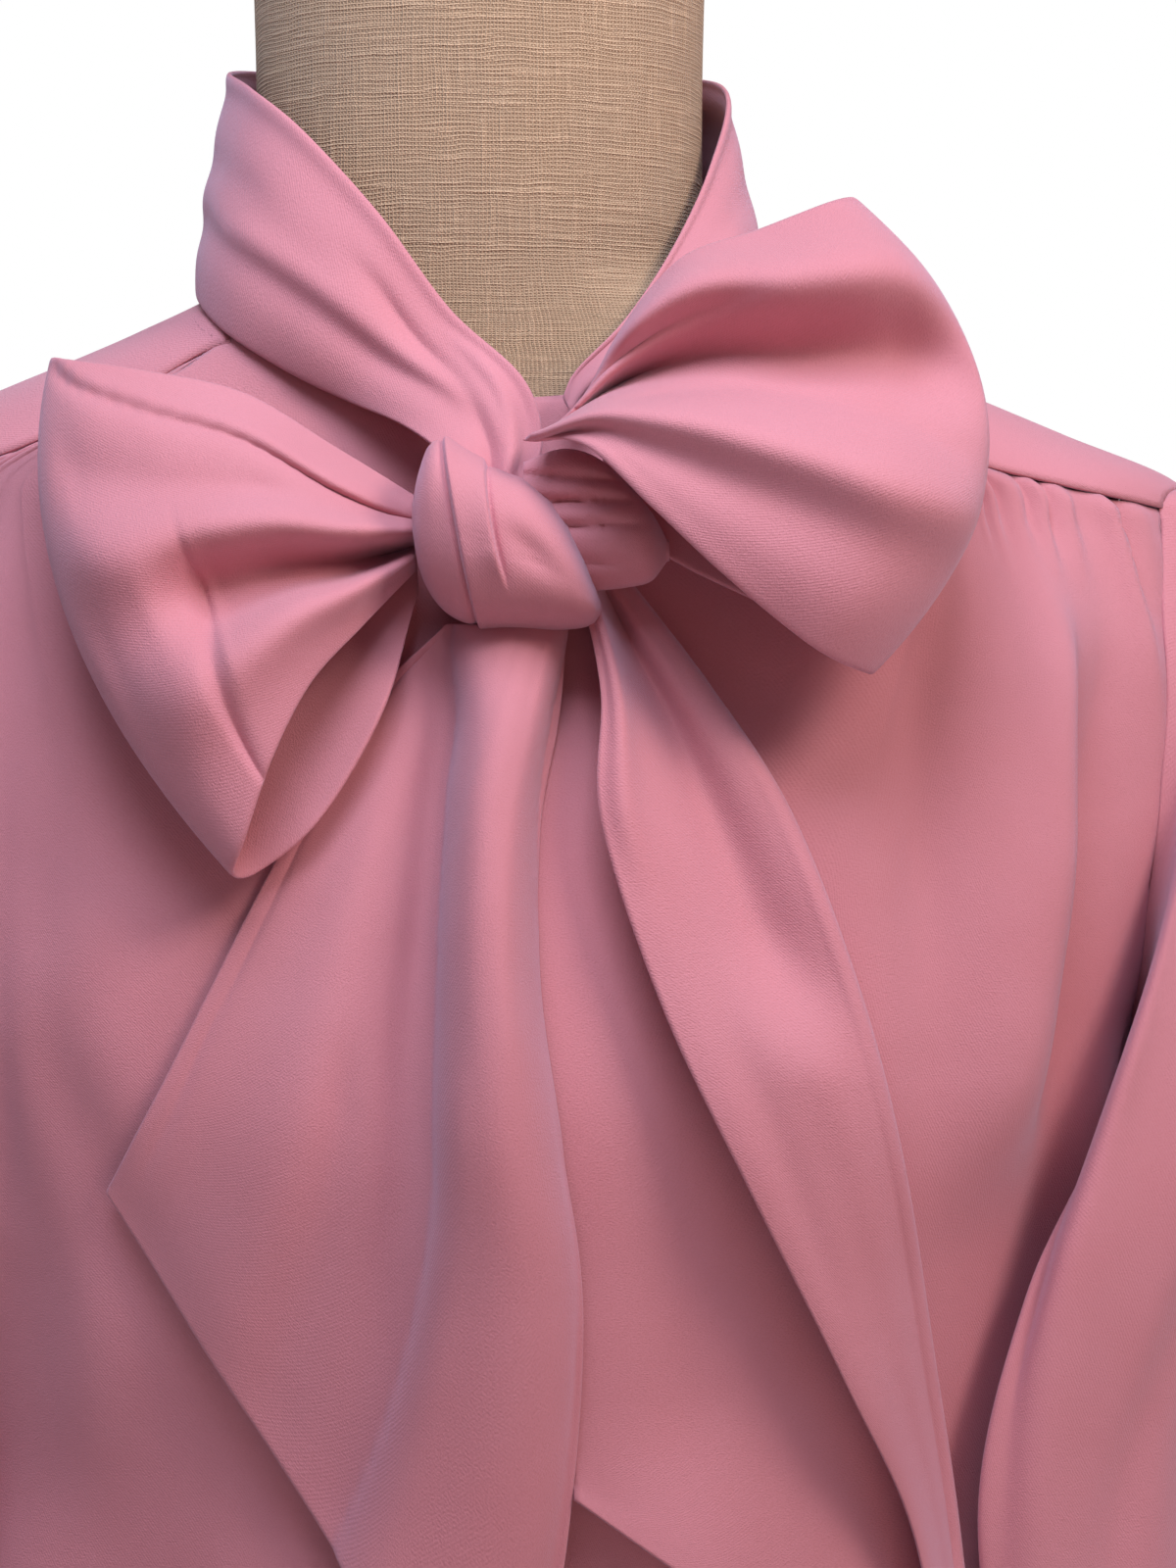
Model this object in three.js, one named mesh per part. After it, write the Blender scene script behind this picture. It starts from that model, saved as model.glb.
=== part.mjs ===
// Tie neck blouse on a limbless dress form, in millimetres, +Z up, the front facing -Y.
import * as THREE from 'three';

// Driving sizes
const seamGap = 0.4;
const sleeveGap = 1;
const sleeveStep = 1.75;
const clothWall = 1.6;
const bandWall = 2.2;
const hemZ = 190;
const armpitZ = 625;
const seamX = 173;
const neckX = 60;
const shoulderX = 180.5;
const collarFootZ = 836;
const drawnFromZ = 560;
const backSeamZ = 745;
const frontRows = 16;
const frontLowRows = 8;
const backRows = 12;
const backLowRows = 6;
const yokeRows = 8;
const baseRadius = 150;
const baseTall = 15;
const poleRadius = 16;
const formFloor = 215;
const squareness = 0.035;
const panelDraw = 5;
const pleatWide = 0.13;

// Level rings of the dress form and of the cloth over it, from the hem to the neck
const formRings = [
  { z: 215, side: 140, front: 95, back: 100 },
  { z: 300, side: 150, front: 100, back: 107 },
  { z: 400, side: 122, front: 86, back: 84 },
  { z: 480, side: 128, front: 94, back: 86 },
  { z: 560, side: 144, front: 108, back: 93 },
  { z: 620, side: 156, front: 113, back: 98 },
  { z: 680, side: 162, front: 98, back: 100 },
  { z: 720, side: 166, front: 81, back: 97 },
  { z: 745, side: 169, front: 69, back: 91 },
  { z: 760, side: 168, front: 62, back: 85 },
  { z: 772, side: 157, front: 57.5, back: 79.5 },
  { z: 784, side: 145, front: 55, back: 74.5 },
  { z: 796, side: 115, front: 52, back: 68 },
  { z: 810, side: 80.5, front: 50, back: 62 },
  { z: 822, side: 59.8, front: 49.5, back: 57.5 },
  { z: 838, side: 58, front: 50, back: 55 },
  { z: 870, side: 57.5, front: 51, back: 54 },
  { z: 915, side: 58.5, front: 52.5, back: 55 },
];
const blouseRings = [
  { z: 190, side: 172, front: 128, back: 124 },
  { z: 300, side: 167, front: 122, back: 121 },
  { z: 400, side: 156, front: 117, back: 109 },
  { z: 515, side: 150, front: 117, back: 104 },
  { z: 580, side: 156, front: 121, back: 107 },
  { z: 625, side: 168, front: 123, back: 111 },
  { z: 665, side: 177, front: 114, back: 112 },
  { z: 700, side: 183, front: 100, back: 110 },
  { z: 730, side: 186, front: 85, back: 103 },
  { z: 745, side: 186, front: 77, back: 98 },
  { z: 760, side: 185, front: 68, back: 91 },
  { z: 772, side: 180.5, front: 63, back: 85 },
  { z: 784, side: 152, front: 59, back: 79 },
  { z: 796, side: 123, front: 56, back: 72.5 },
  { z: 810, side: 89, front: 54.5, back: 66.5 },
  { z: 822, side: 66, front: 53.5, back: 61.5 },
  { z: 838, side: 62, front: 53, back: 58.5 },
];

// Top edge of the front: the neckline, then the yoke seam out to the armhole
const frontEdge = [
  { x: 0, z: 786 },
  { x: 22, z: 787 },
  { x: 36, z: 790 },
  { x: 48, z: 796 },
  { x: 60, z: 805 },
  { x: 88, z: 790.5 },
  { x: 117, z: 777.5 },
  { x: 145, z: 770.5 },
  { x: 173, z: 765 },
];
// Neckline of the yoke, by the angle round the neck from the front
const yokeNeck = [
  { turn: 36, z: 805 },
  { turn: 60, z: 814 },
  { turn: 90, z: 820 },
  { turn: 130, z: 826 },
  { turn: 180, z: 829 },
];
// How far out the armhole edge lies at each height
const armhole = [
  { z: 625, x: 168 },
  { z: 640, x: 164 },
  { z: 665, x: 161 },
  { z: 700, x: 159 },
  { z: 735, x: 163 },
  { z: 752, x: 168 },
  { z: 765, x: 173 },
];

// Soft folds of the body: place round the body in degrees, width, depth, and the heights they span
const bodyFolds = [
  { turn: 38, wide: 7, deep: 7, top: 768, low: 585, lean: 4 },
  { turn: 56, wide: 6, deep: 4, top: 764, low: 690, lean: 3 },
  { turn: 50, wide: 6, deep: -4, top: 740, low: 560, lean: 6 },
  { turn: 66, wide: 8, deep: 4, top: 640, low: 300, lean: 2 },
  { turn: -37, wide: 7, deep: 6, top: 768, low: 600, lean: -4 },
  { turn: -54, wide: 6, deep: 4, top: 764, low: 680, lean: -3 },
  { turn: -49, wide: 6, deep: -4, top: 735, low: 560, lean: -5 },
  { turn: -66, wide: 8, deep: 4, top: 650, low: 280, lean: -2 },
  { turn: 18, wide: 9, deep: 5, top: 560, low: 190, lean: 3 },
  { turn: -14, wide: 9, deep: 5, top: 540, low: 190, lean: -2 },
  { turn: 42, wide: 9, deep: 6, top: 520, low: 190, lean: 2 },
  { turn: -42, wide: 9, deep: 6, top: 540, low: 190, lean: -3 },
  { turn: 118, wide: 9, deep: 5, top: 600, low: 190, lean: 0 },
  { turn: -116, wide: 9, deep: 5, top: 620, low: 190, lean: 0 },
  { turn: 150, wide: 10, deep: 6, top: 700, low: 190, lean: 3 },
  { turn: -148, wide: 10, deep: 6, top: 690, low: 190, lean: -3 },
  { turn: 178, wide: 10, deep: 5, top: 560, low: 190, lean: 0 },
];
const gatherFold = { fromX: 95, count: 6.5, deep: 1.5, tall: 60 };

// Right sleeve below the cap: level sections of the empty, hanging sleeve
const sleeveRings = [
  { z: 640, x: 186, y: -14, long: 58, outer: 18, inner: 12, turn: 66, tilt: 42 },
  { z: 590, x: 177, y: -30, long: 61, outer: 20, inner: 12, turn: 57, tilt: 18 },
  { z: 530, x: 165, y: -45, long: 62, outer: 18, inner: 11, turn: 52, tilt: 6 },
  { z: 460, x: 169, y: -44, long: 60, outer: 18, inner: 12, turn: 52, tilt: 0 },
  { z: 380, x: 180, y: -38, long: 56, outer: 19, inner: 14, turn: 56, tilt: 0 },
  { z: 300, x: 189, y: -31, long: 54, outer: 20, inner: 16, turn: 60, tilt: 0 },
  { z: 240, x: 195, y: -26, long: 52, outer: 22, inner: 19, turn: 62, tilt: 0 },
  { z: 214, x: 197, y: -25, long: 44, outer: 21, inner: 20, turn: 62, tilt: 0 },
];
const sleeveFolds = [
  { turn: 60, wide: 16, deep: 4, top: 690, low: 420 },
  { turn: 120, wide: 14, deep: -3, top: 660, low: 380 },
  { turn: 20, wide: 15, deep: 4, top: 560, low: 230 },
  { turn: 250, wide: 16, deep: 4, top: 640, low: 240 },
];
const capReach = 18;
const cuff = { x: 197, y: -25, low: 172, top: 213.2, long: 44, short: 20.5 };
const sleeveDown = sleeveRings.map((ring) => ({ ...ring, down: -ring.z }));

// Collar band, from its right end at the knot round the back of the neck to its left end. Each row
// is one line across the band: its low end, its top end, and how far its middle stands out.
const collarRows = [
  { lowX: 24, lowY: -70, lowZ: 782, topX: 22, topY: -68, topZ: 791, out: 1 },
  { lowX: 30, lowY: -61, lowZ: 790, topX: 25, topY: -60, topZ: 798, out: 2 },
  { lowX: 45, lowY: -55.5, lowZ: 797.4, topX: 36, topY: -49, topZ: 811, out: 3 },
  { lowX: 61, lowY: -46, lowZ: 807.6, topX: 47, topY: -37, topZ: 829, out: 3 },
  { lowX: 70, lowY: -26, lowZ: 817.4, topX: 56.5, topY: -21, topZ: 851, out: 4 },
  { lowX: 69, lowY: 2, lowZ: 821.5, topX: 61.5, topY: 2, topZ: 874, out: 4 },
  { lowX: 51, lowY: 39.5, lowZ: 827.5, topX: 48, topY: 38, topZ: 883, out: 4 },
  { lowX: 27.5, lowY: 55.5, lowZ: 830, topX: 26, topY: 53.5, topZ: 886, out: 4 },
  { lowX: 0, lowY: 61.5, lowZ: 830.8, topX: 0, topY: 60, topZ: 887, out: 4 },
  { lowX: -27.5, lowY: 55.5, lowZ: 830, topX: -26, topY: 53.5, topZ: 886, out: 4 },
  { lowX: -51, lowY: 39.5, lowZ: 827.5, topX: -48, topY: 38, topZ: 884, out: 4 },
  { lowX: -69, lowY: 2, lowZ: 821.5, topX: -62, topY: 2, topZ: 879, out: 4 },
  { lowX: -70, lowY: -26, lowZ: 817.4, topX: -55, topY: -24, topZ: 871, out: 4 },
  { lowX: -61, lowY: -46, lowZ: 807.6, topX: -41, topY: -42, topZ: 858, out: 5 },
  { lowX: -45, lowY: -56, lowZ: 797.4, topX: -22, topY: -54, topZ: 836, out: 6 },
  { lowX: -30, lowY: -63, lowZ: 790, topX: -5, topY: -61, topZ: 812, out: 5 },
  { lowX: -16, lowY: -72, lowZ: 786, topX: 9, topY: -71, topZ: 798, out: 3 },
  { lowX: -7, lowY: -84, lowZ: 780, topX: 16, topY: -82, topZ: 787, out: 1 },
];

// Bow loops, from the front of the knot round the turn and back to it. Each row is one line
// across the band: its top end, its low end, how its middle bows, and where one deep pleat lies.
const loopLeft = [
  { topX: -12.6, topY: -88, topZ: 766, lowX: -12.6, lowY: -91, lowZ: 749, outX: 0, outY: -3, at: 0.5, deep: 2 },
  { topX: -32, topY: -85, topZ: 778, lowX: -24, lowY: -106, lowZ: 736, outX: 0, outY: -9, at: 0.47, deep: 9 },
  { topX: -54, topY: -80, topZ: 790, lowX: -35, lowY: -118, lowZ: 723, outX: 0, outY: -13, at: 0.45, deep: 10 },
  { topX: -78, topY: -76, topZ: 794, lowX: -43, lowY: -126, lowZ: 706, outX: -4, outY: -14, at: 0.42, deep: 7 },
  { topX: -93, topY: -72, topZ: 795, lowX: -49, lowY: -128, lowZ: 688, outX: -12, outY: -11, at: 0.4, deep: 3 },
  { topX: -99, topY: -67, topZ: 795, lowX: -52, lowY: -123, lowZ: 680, outX: -17, outY: -3, at: 0.4, deep: 0 },
  { topX: -96, topY: -62, topZ: 794, lowX: -47, lowY: -117, lowZ: 680, outX: -14, outY: 3, at: 0.4, deep: 0 },
  { topX: -75, topY: -60, topZ: 788, lowX: -33, lowY: -114, lowZ: 692, outX: -5, outY: 3, at: 0.5, deep: 0 },
  { topX: -43, topY: -66, topZ: 777, lowX: -19, lowY: -105, lowZ: 717, outX: 0, outY: 2, at: 0.5, deep: 0 },
  { topX: -12.6, topY: -79, topZ: 766, lowX: -12.2, lowY: -86, lowZ: 744, outX: 0, outY: 0, at: 0.5, deep: 0 },
];
const loopRight = [
  { topX: 26, topY: -88, topZ: 785, lowX: 14, lowY: -107, lowZ: 776.8, outX: 0, outY: -1, at: 0.45, deep: 2 },
  { topX: 36, topY: -86, topZ: 805, lowX: 28, lowY: -115, lowZ: 774, outX: 2, outY: -4, at: 0.45, deep: 9 },
  { topX: 50, topY: -84, topZ: 822, lowX: 42, lowY: -120, lowZ: 763, outX: 5, outY: -10, at: 0.42, deep: 16 },
  { topX: 68, topY: -82, topZ: 829, lowX: 59, lowY: -122, lowZ: 747, outX: 10, outY: -15, at: 0.42, deep: 15 },
  { topX: 85, topY: -78, topZ: 836, lowX: 79, lowY: -120, lowZ: 731, outX: 18, outY: -16, at: 0.4, deep: 7 },
  { topX: 91, topY: -70, topZ: 838, lowX: 92, lowY: -111, lowZ: 725, outX: 29, outY: -4, at: 0.4, deep: 0 },
  { topX: 88, topY: -62, topZ: 837, lowX: 88, lowY: -103, lowZ: 728, outX: 25, outY: 4, at: 0.4, deep: 0 },
  { topX: 69, topY: -60, topZ: 829, lowX: 70, lowY: -96, lowZ: 740, outX: 12, outY: 4, at: 0.5, deep: 0 },
  { topX: 49, topY: -66, topZ: 812, lowX: 50, lowY: -92, lowZ: 750, outX: 3, outY: 1, at: 0.5, deep: 0 },
  { topX: 31.5, topY: -76, topZ: 778, lowX: 31.5, lowY: -88, lowZ: 762, outX: 0, outY: 0, at: 0.5, deep: 0 },
];

// Knot: a rounded wrap with two grooves between its folds
const knot = { x: 9, y: -97, z: 757, halfX: 20.5, halfY: 20, halfZ: 21 };
const knotGrooves = [
  { at: -0.46, wide: 0.1, deep: 3.2 },
  { at: -0.2, wide: 0.08, deep: 2.2 },
];

// Left tail, down from the knot: left and right edge of each line, its clearance from the chest,
// and the round fold that stands up along its right side
const tailLeft = [
  { leftX: -5, leftZ: 735.5, rightX: 20, rightZ: 735, nearLift: 10, farLift: 10, fold: 7, at: 0.5, wide: 0.3 },
  { leftX: -20, leftZ: 722, rightX: 22, rightZ: 712, nearLift: 4, farLift: 10, fold: 12, at: 0.66, wide: 0.22 },
  { leftX: -32, leftZ: 704, rightX: 18, rightZ: 690, nearLift: 3, farLift: 9, fold: 16, at: 0.74, wide: 0.17 },
  { leftX: -46, leftZ: 678, rightX: 16, rightZ: 655, nearLift: 3, farLift: 8, fold: 18, at: 0.78, wide: 0.15 },
  { leftX: -58, leftZ: 654, rightX: 21, rightZ: 620, nearLift: 3, farLift: 8, fold: 18, at: 0.78, wide: 0.15 },
  { leftX: -68, leftZ: 634, rightX: 27, rightZ: 580, nearLift: 3, farLift: 8, fold: 15, at: 0.76, wide: 0.17 },
  { leftX: -76, leftZ: 619, rightX: 22, rightZ: 525, nearLift: 3, farLift: 8, fold: 12, at: 0.74, wide: 0.2 },
  { leftX: -83, leftZ: 606, rightX: 12, rightZ: 462, nearLift: 3, farLift: 8, fold: 10, at: 0.72, wide: 0.22 },
];
// Right tail, folded over lengthwise: hidden left edge, folded right edge, and the free edge
const tailRight = [
  { leftX: 20, leftZ: 736, foldX: 35, foldZ: 747, freeX: 26.6, freeZ: 744, lift: 6, roll: 5 },
  { leftX: 16, leftZ: 716, foldX: 52, foldZ: 722, freeX: 31, freeZ: 720, lift: 3, roll: 11 },
  { leftX: 12, leftZ: 690, foldX: 70, foldZ: 693, freeX: 31, freeZ: 692, lift: 3, roll: 14 },
  { leftX: 10, leftZ: 650, foldX: 86, foldZ: 652, freeX: 45, freeZ: 650, lift: 3, roll: 12 },
  { leftX: 14, leftZ: 610, foldX: 97, foldZ: 611, freeX: 64, freeZ: 610, lift: 3.4, roll: 9 },
  { leftX: 20, leftZ: 570, foldX: 106, foldZ: 563, freeX: 87, freeZ: 563, lift: 4.5, roll: 7 },
  { leftX: 24, leftZ: 545, foldX: 113, foldZ: 522, freeX: 104, freeZ: 524, lift: 6, roll: 6 },
  { leftX: 25, leftZ: 538, foldX: 119, foldZ: 470, freeX: 112, freeZ: 474, lift: 9, roll: 5.5 },
];

const crepe = new THREE.MeshStandardMaterial({ color: 0xc98088, roughness: 0.75, metalness: 0 });
const linen = new THREE.MeshStandardMaterial({ color: 0xb89f82, roughness: 0.95, metalness: 0 });
const darkSteel = new THREE.MeshStandardMaterial({ color: 0x34322f, roughness: 0.45, metalness: 0.8 });

const part = new THREE.Group();

function radians(degrees) {
  return degrees * Math.PI / 180;
}

function lerp(a, b, t) {
  return a + (b - a) * t;
}

function bell(distance) {
  return Math.exp(-distance * distance);
}

function smooth(t) {
  const k = Math.min(Math.max(t, 0), 1);
  return k * k * (3 - 2 * k);
}

// Reads a table at any value of its key column, with a smooth curve through the rows
function readTable(rows, key, value, column) {
  const last = rows.length - 1;
  const at = Math.min(Math.max(value, rows[0][key]), rows[last][key]);
  let i = 0;
  while (i < last - 1 && at > rows[i + 1][key]) i += 1;
  const slope = (n) => {
    const a = rows[Math.max(n - 1, 0)];
    const b = rows[Math.min(n + 1, last)];
    return (b[column] - a[column]) / (b[key] - a[key]);
  };
  const span = rows[i + 1][key] - rows[i][key];
  const t = (at - rows[i][key]) / span;
  const t2 = t * t;
  const t3 = t2 * t;
  return rows[i][column] * (2 * t3 - 3 * t2 + 1) + slope(i) * span * (t3 - 2 * t2 + t)
    + rows[i + 1][column] * (3 * t2 - 2 * t3) + slope(i + 1) * span * (t3 - t2);
}

// The same, for a table whose rows are evenly spaced from 0 to 1
function readSteps(rows, t, column) {
  const spaced = rows.map((row, n) => ({ n: n / (rows.length - 1), v: row[column] }));
  return readTable(spaced, 'n', t, 'v');
}

// A point of a body ring at an angle round from the front
function ringPoint(rings, turn, z, out = 0) {
  const side = readTable(rings, 'z', z, 'side');
  const depth = readTable(rings, 'z', z, Math.abs(turn) > Math.PI / 2 ? 'back' : 'front');
  const full = 1 + squareness * Math.sin(2 * turn) ** 2;
  return new THREE.Vector3(
    (side * full + out) * Math.sin(turn),
    -(depth * full + out) * Math.cos(turn),
    z,
  );
}

// The angle at which a ring reaches x, on the front half
function turnAt(rings, x, z) {
  const side = readTable(rings, 'z', z, 'side');
  let turn = Math.asin(Math.min(Math.abs(x) / side, 1));
  for (let n = 0; n < 4; n += 1) {
    const full = 1 + squareness * Math.sin(2 * turn) ** 2;
    turn = Math.asin(Math.min(Math.abs(x) / (side * full), 1));
  }
  return turn * Math.sign(x || 1);
}

// The height in the shoulder slope at which the cloth's ring is as wide as asked
function heightOfWidth(width) {
  let low = backSeamZ;
  let top = blouseRings[blouseRings.length - 1].z;
  for (let n = 0; n < 30; n += 1) {
    const mid = (low + top) / 2;
    if (readTable(blouseRings, 'z', mid, 'side') > width) low = mid;
    else top = mid;
  }
  return (low + top) / 2;
}

function foldPush(turn, z) {
  const degrees = turn * 180 / Math.PI;
  let push = 0;
  for (const fold of bodyFolds) {
    const centre = fold.turn + fold.lean * (fold.top - z) / 100;
    let away = degrees - centre;
    if (away > 180) away -= 360;
    if (away < -180) away += 360;
    const fade = smooth((fold.top - z) / 45) * (fold.low <= hemZ ? 1 : smooth((z - fold.low) / 45));
    push += fold.deep * bell(away / fold.wide) * fade;
  }
  return push;
}

function blousePoint(turn, z, out = 0) {
  return ringPoint(blouseRings, turn, z, out + foldPush(turn, z));
}

function chestY(x, z) {
  const turn = turnAt(blouseRings, x, z);
  return blousePoint(turn, z).y - clothWall / 2;
}

// Makes a closed wall from a grid of points on its middle surface
function wallFrom(grid, thick, around = false) {
  const rows = grid.length;
  const columns = grid[0].length;
  const at = (i, j) => {
    const wrapped = around ? (j + columns) % columns : Math.min(Math.max(j, 0), columns - 1);
    return grid[Math.min(Math.max(i, 0), rows - 1)][wrapped];
  };
  const position = [];
  for (const sign of [1, -1]) {
    for (let i = 0; i < rows; i += 1) {
      for (let j = 0; j < columns; j += 1) {
        const along = at(i + 1, j).clone().sub(at(i - 1, j));
        const across = at(i, j + 1).clone().sub(at(i, j - 1));
        const normal = across.cross(along).normalize();
        const p = grid[i][j].clone().addScaledVector(normal, sign * thick / 2);
        position.push(p.x, p.y, p.z);
      }
    }
  }
  const layer = rows * columns;
  const index = [];
  const quad = (a, b, c, d) => index.push(a, b, c, a, c, d);
  const steps = around ? columns : columns - 1;
  for (let i = 0; i < rows - 1; i += 1) {
    for (let j = 0; j < steps; j += 1) {
      const a = i * columns + j;
      const b = i * columns + (j + 1) % columns;
      quad(a, b, b + columns, a + columns);
      quad(layer + a, layer + a + columns, layer + b + columns, layer + b);
    }
  }
  for (let j = 0; j < steps; j += 1) {
    const next = (j + 1) % columns;
    const end = (rows - 1) * columns;
    quad(j, layer + j, layer + next, next);
    quad(end + j, end + next, layer + end + next, layer + end + j);
  }
  if (!around) {
    for (let i = 0; i < rows - 1; i += 1) {
      const a = i * columns;
      const b = a + columns - 1;
      quad(a, a + columns, layer + a + columns, layer + a);
      quad(b, layer + b, layer + b + columns, b + columns);
    }
  }
  return solidFrom(position, index);
}

function solidFrom(position, index) {
  const corner = (n) => new THREE.Vector3().fromArray(position, index[n] * 3);
  let volume = 0;
  for (let n = 0; n < index.length; n += 3) {
    volume += corner(n).dot(corner(n + 1).cross(corner(n + 2)));
  }
  if (volume < 0) index.reverse();
  const geometry = new THREE.BufferGeometry();
  geometry.setAttribute('position', new THREE.Float32BufferAttribute(position, 3));
  geometry.setIndex(index);
  geometry.computeVertexNormals();
  return geometry;
}

// Makes a solid from level rings, closed at both ends by a centre point
function lump(grid) {
  const columns = grid[0].length;
  const position = grid.flat().flatMap((p) => [p.x, p.y, p.z]);
  const index = [];
  for (let i = 0; i < grid.length - 1; i += 1) {
    for (let j = 0; j < columns; j += 1) {
      const a = i * columns + j;
      const b = i * columns + (j + 1) % columns;
      index.push(a, b, b + columns, a, b + columns, a + columns);
    }
  }
  for (const i of [0, grid.length - 1]) {
    const centre = new THREE.Vector3();
    grid[i].forEach((p) => centre.addScaledVector(p, 1 / columns));
    position.push(centre.x, centre.y, centre.z);
    const middle = position.length / 3 - 1;
    for (let j = 0; j < columns; j += 1) {
      const a = i * columns + j;
      const b = i * columns + (j + 1) % columns;
      if (i === 0) index.push(middle, b, a);
      else index.push(middle, a, b);
    }
  }
  return solidFrom(position, index);
}

function addPiece(name, geometry, material) {
  const piece = new THREE.Mesh(geometry, material.clone());
  piece.name = name;
  part.add(piece);
}

function makeGrid(rows, columns, point, around = false) {
  const grid = [];
  const last = around ? columns : columns - 1;
  for (let i = 0; i < rows; i += 1) {
    grid.push([]);
    for (let j = 0; j < columns; j += 1) grid[i].push(point(i / (rows - 1), j / last));
  }
  return grid;
}

// Dress form and stand

function formBody() {
  const columns = 32;
  const levels = formRings.map((ring) => ring.z);
  const grid = levels.map((z) => {
    const ring = [];
    for (let j = 0; j < columns; j += 1) {
      const turn = -Math.PI + 2 * Math.PI * j / columns;
      ring.push(ringPoint(formRings, turn, z));
    }
    return ring;
  });
  return lump(grid);
}

function turned(profile, sides) {
  const points = profile.map(([r, z]) => new THREE.Vector2(r, z));
  const lathe = new THREE.LatheGeometry(points, sides);
  lathe.rotateX(Math.PI / 2);
  const count = points.length;
  const position = [];
  const index = [];
  const source = lathe.getAttribute('position');
  for (let s = 0; s < sides; s += 1) {
    for (let n = 1; n < count - 1; n += 1) {
      const k = s * count + n;
      position.push(source.getX(k), source.getY(k), source.getZ(k));
    }
  }
  const inner = count - 2;
  position.push(0, 0, profile[0][1], 0, 0, profile[count - 1][1]);
  const low = sides * inner;
  for (let s = 0; s < sides; s += 1) {
    const a = s * inner;
    const b = ((s + 1) % sides) * inner;
    for (let n = 0; n < inner - 1; n += 1) {
      index.push(a + n, b + n, b + n + 1, a + n, b + n + 1, a + n + 1);
    }
    index.push(low, b, a, low + 1, a + inner - 1, b + inner - 1);
  }
  return solidFrom(position, index);
}

function stand() {
  const edge = 4;
  addPiece('form_torso', formBody(), linen);
  addPiece('stand_base', turned([
    [0, 0], [baseRadius - edge, 0], [baseRadius, edge],
    [baseRadius, baseTall - edge], [baseRadius - edge, baseTall], [0, baseTall],
  ], 48), darkSteel);
  addPiece('stand_pole', turned([
    [0, baseTall + seamGap], [poleRadius, baseTall + seamGap],
    [poleRadius, formFloor - seamGap], [0, formFloor - seamGap],
  ], 24), darkSteel);
}

// Body panels

// The angle from the middle of a panel to its edge: the side seam, and above it the armhole
function panelEdge(z) {
  if (z <= armpitZ) return Math.PI / 2;
  const level = Math.min(z, frontEdge[frontEdge.length - 1].z);
  return turnAt(blouseRings, readTable(armhole, 'z', level, 'x'), level);
}

// Draws in only the outer columns of a panel to its edge
function panelTurn(share, z) {
  const full = Math.PI / 2;
  const gap = seamGap / 2 / readTable(blouseRings, 'z', z, 'front');
  return full * share * (1 - (1 - (panelEdge(z) - gap) / full) * share ** panelDraw);
}

function topOfFront(share) {
  const neckShare = 0.22;
  const x = share < neckShare
    ? neckX * share / neckShare
    : lerp(neckX, seamX, (share - neckShare) / (1 - neckShare));
  return { x, z: readTable(frontEdge, 'x', x, 'z') - seamGap };
}

function gatherAt(x, below) {
  const along = (x - gatherFold.fromX) / (seamX - gatherFold.fromX);
  if (along < 0 || along > 0.98) return 0;
  const wave = Math.cos(along * gatherFold.count * 2 * Math.PI);
  const rise = smooth(below / 12 + 0.45) * (1 - smooth(below / gatherFold.tall));
  return gatherFold.deep * wave * rise;
}

// Rows of a panel: some from the hem to the armpit, the rest up to its top edge
function panelLevel(row, rows, lowRows, top) {
  if (row <= lowRows) return lerp(hemZ, armpitZ, row / lowRows);
  return lerp(armpitZ, top, (row - lowRows) / (rows - 1 - lowRows));
}

function frontPanel() {
  return makeGrid(frontRows, 49, (rise, across) => {
    const side = across * 2 - 1;
    const share = Math.abs(side);
    const top = topOfFront(share);
    const z = panelLevel(Math.round(rise * (frontRows - 1)), frontRows, frontLowRows, top.z);
    const drawn = smooth((z - drawnFromZ) / (top.z - drawnFromZ));
    const topTurn = Math.abs(turnAt(blouseRings, top.x, top.z));
    const free = panelTurn(share, z);
    const turn = share > 0.999 ? free : lerp(free, topTurn, drawn);
    return blousePoint(turn * Math.sign(side || 1), z, gatherAt(top.x, top.z - z));
  });
}

function backPanel() {
  return makeGrid(backRows, 27, (rise, across) => {
    const side = across * 2 - 1;
    const row = Math.round(rise * (backRows - 1));
    const z = panelLevel(row, backRows, backLowRows, backSeamZ - seamGap);
    const turn = Math.PI - panelTurn(Math.abs(side), z);
    return blousePoint(turn * Math.sign(side || 1), z);
  });
}

// One column of the yoke, from its front seam or the neckline over to the back seam
function yokeColumn(place, count) {
  const side = Math.sign(place || 1);
  const share = 1 - Math.abs(place);
  const seamShare = 0.5;
  let start;
  if (share <= seamShare) {
    const x = lerp(seamX, neckX, share / seamShare);
    const z = readTable(frontEdge, 'x', x, 'z') + seamGap / 2;
    start = { z, turn: turnAt(blouseRings, x, z) };
  } else {
    const degrees = lerp(yokeNeck[0].turn, 179.5, (share - seamShare) / (1 - seamShare));
    start = { z: readTable(yokeNeck, 'turn', degrees, 'z'), turn: radians(degrees) };
  }
  const x0 = ringPoint(blouseRings, start.turn, start.z).x;
  const endX = Math.max(lerp(readTable(armhole, 'z', backSeamZ, 'x'), 0, share), 0.5);
  const endTurn = Math.PI - turnAt(blouseRings, endX, backSeamZ);
  const outer = 1 - Math.min(share / 0.25, 1);
  const samples = 120;
  const path = [];
  for (let n = 0; n <= samples; n += 1) {
    const p = n / samples;
    const turn = lerp(start.turn, endTurn, p);
    const bow = (shoulderX - seamX + 2) * Math.sin(Math.PI * Math.min(p * 1.15, 1)) * outer;
    const full = 1 + squareness * Math.sin(2 * turn) ** 2;
    const wide = (lerp(x0, endX, p) + bow) / (Math.sin(turn) * full);
    const z = n === 0 ? start.z : Math.min(heightOfWidth(wide), collarFootZ);
    path.push(blousePoint(turn * side, n === samples ? backSeamZ : z));
  }
  return evenly(path, count);
}

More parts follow.
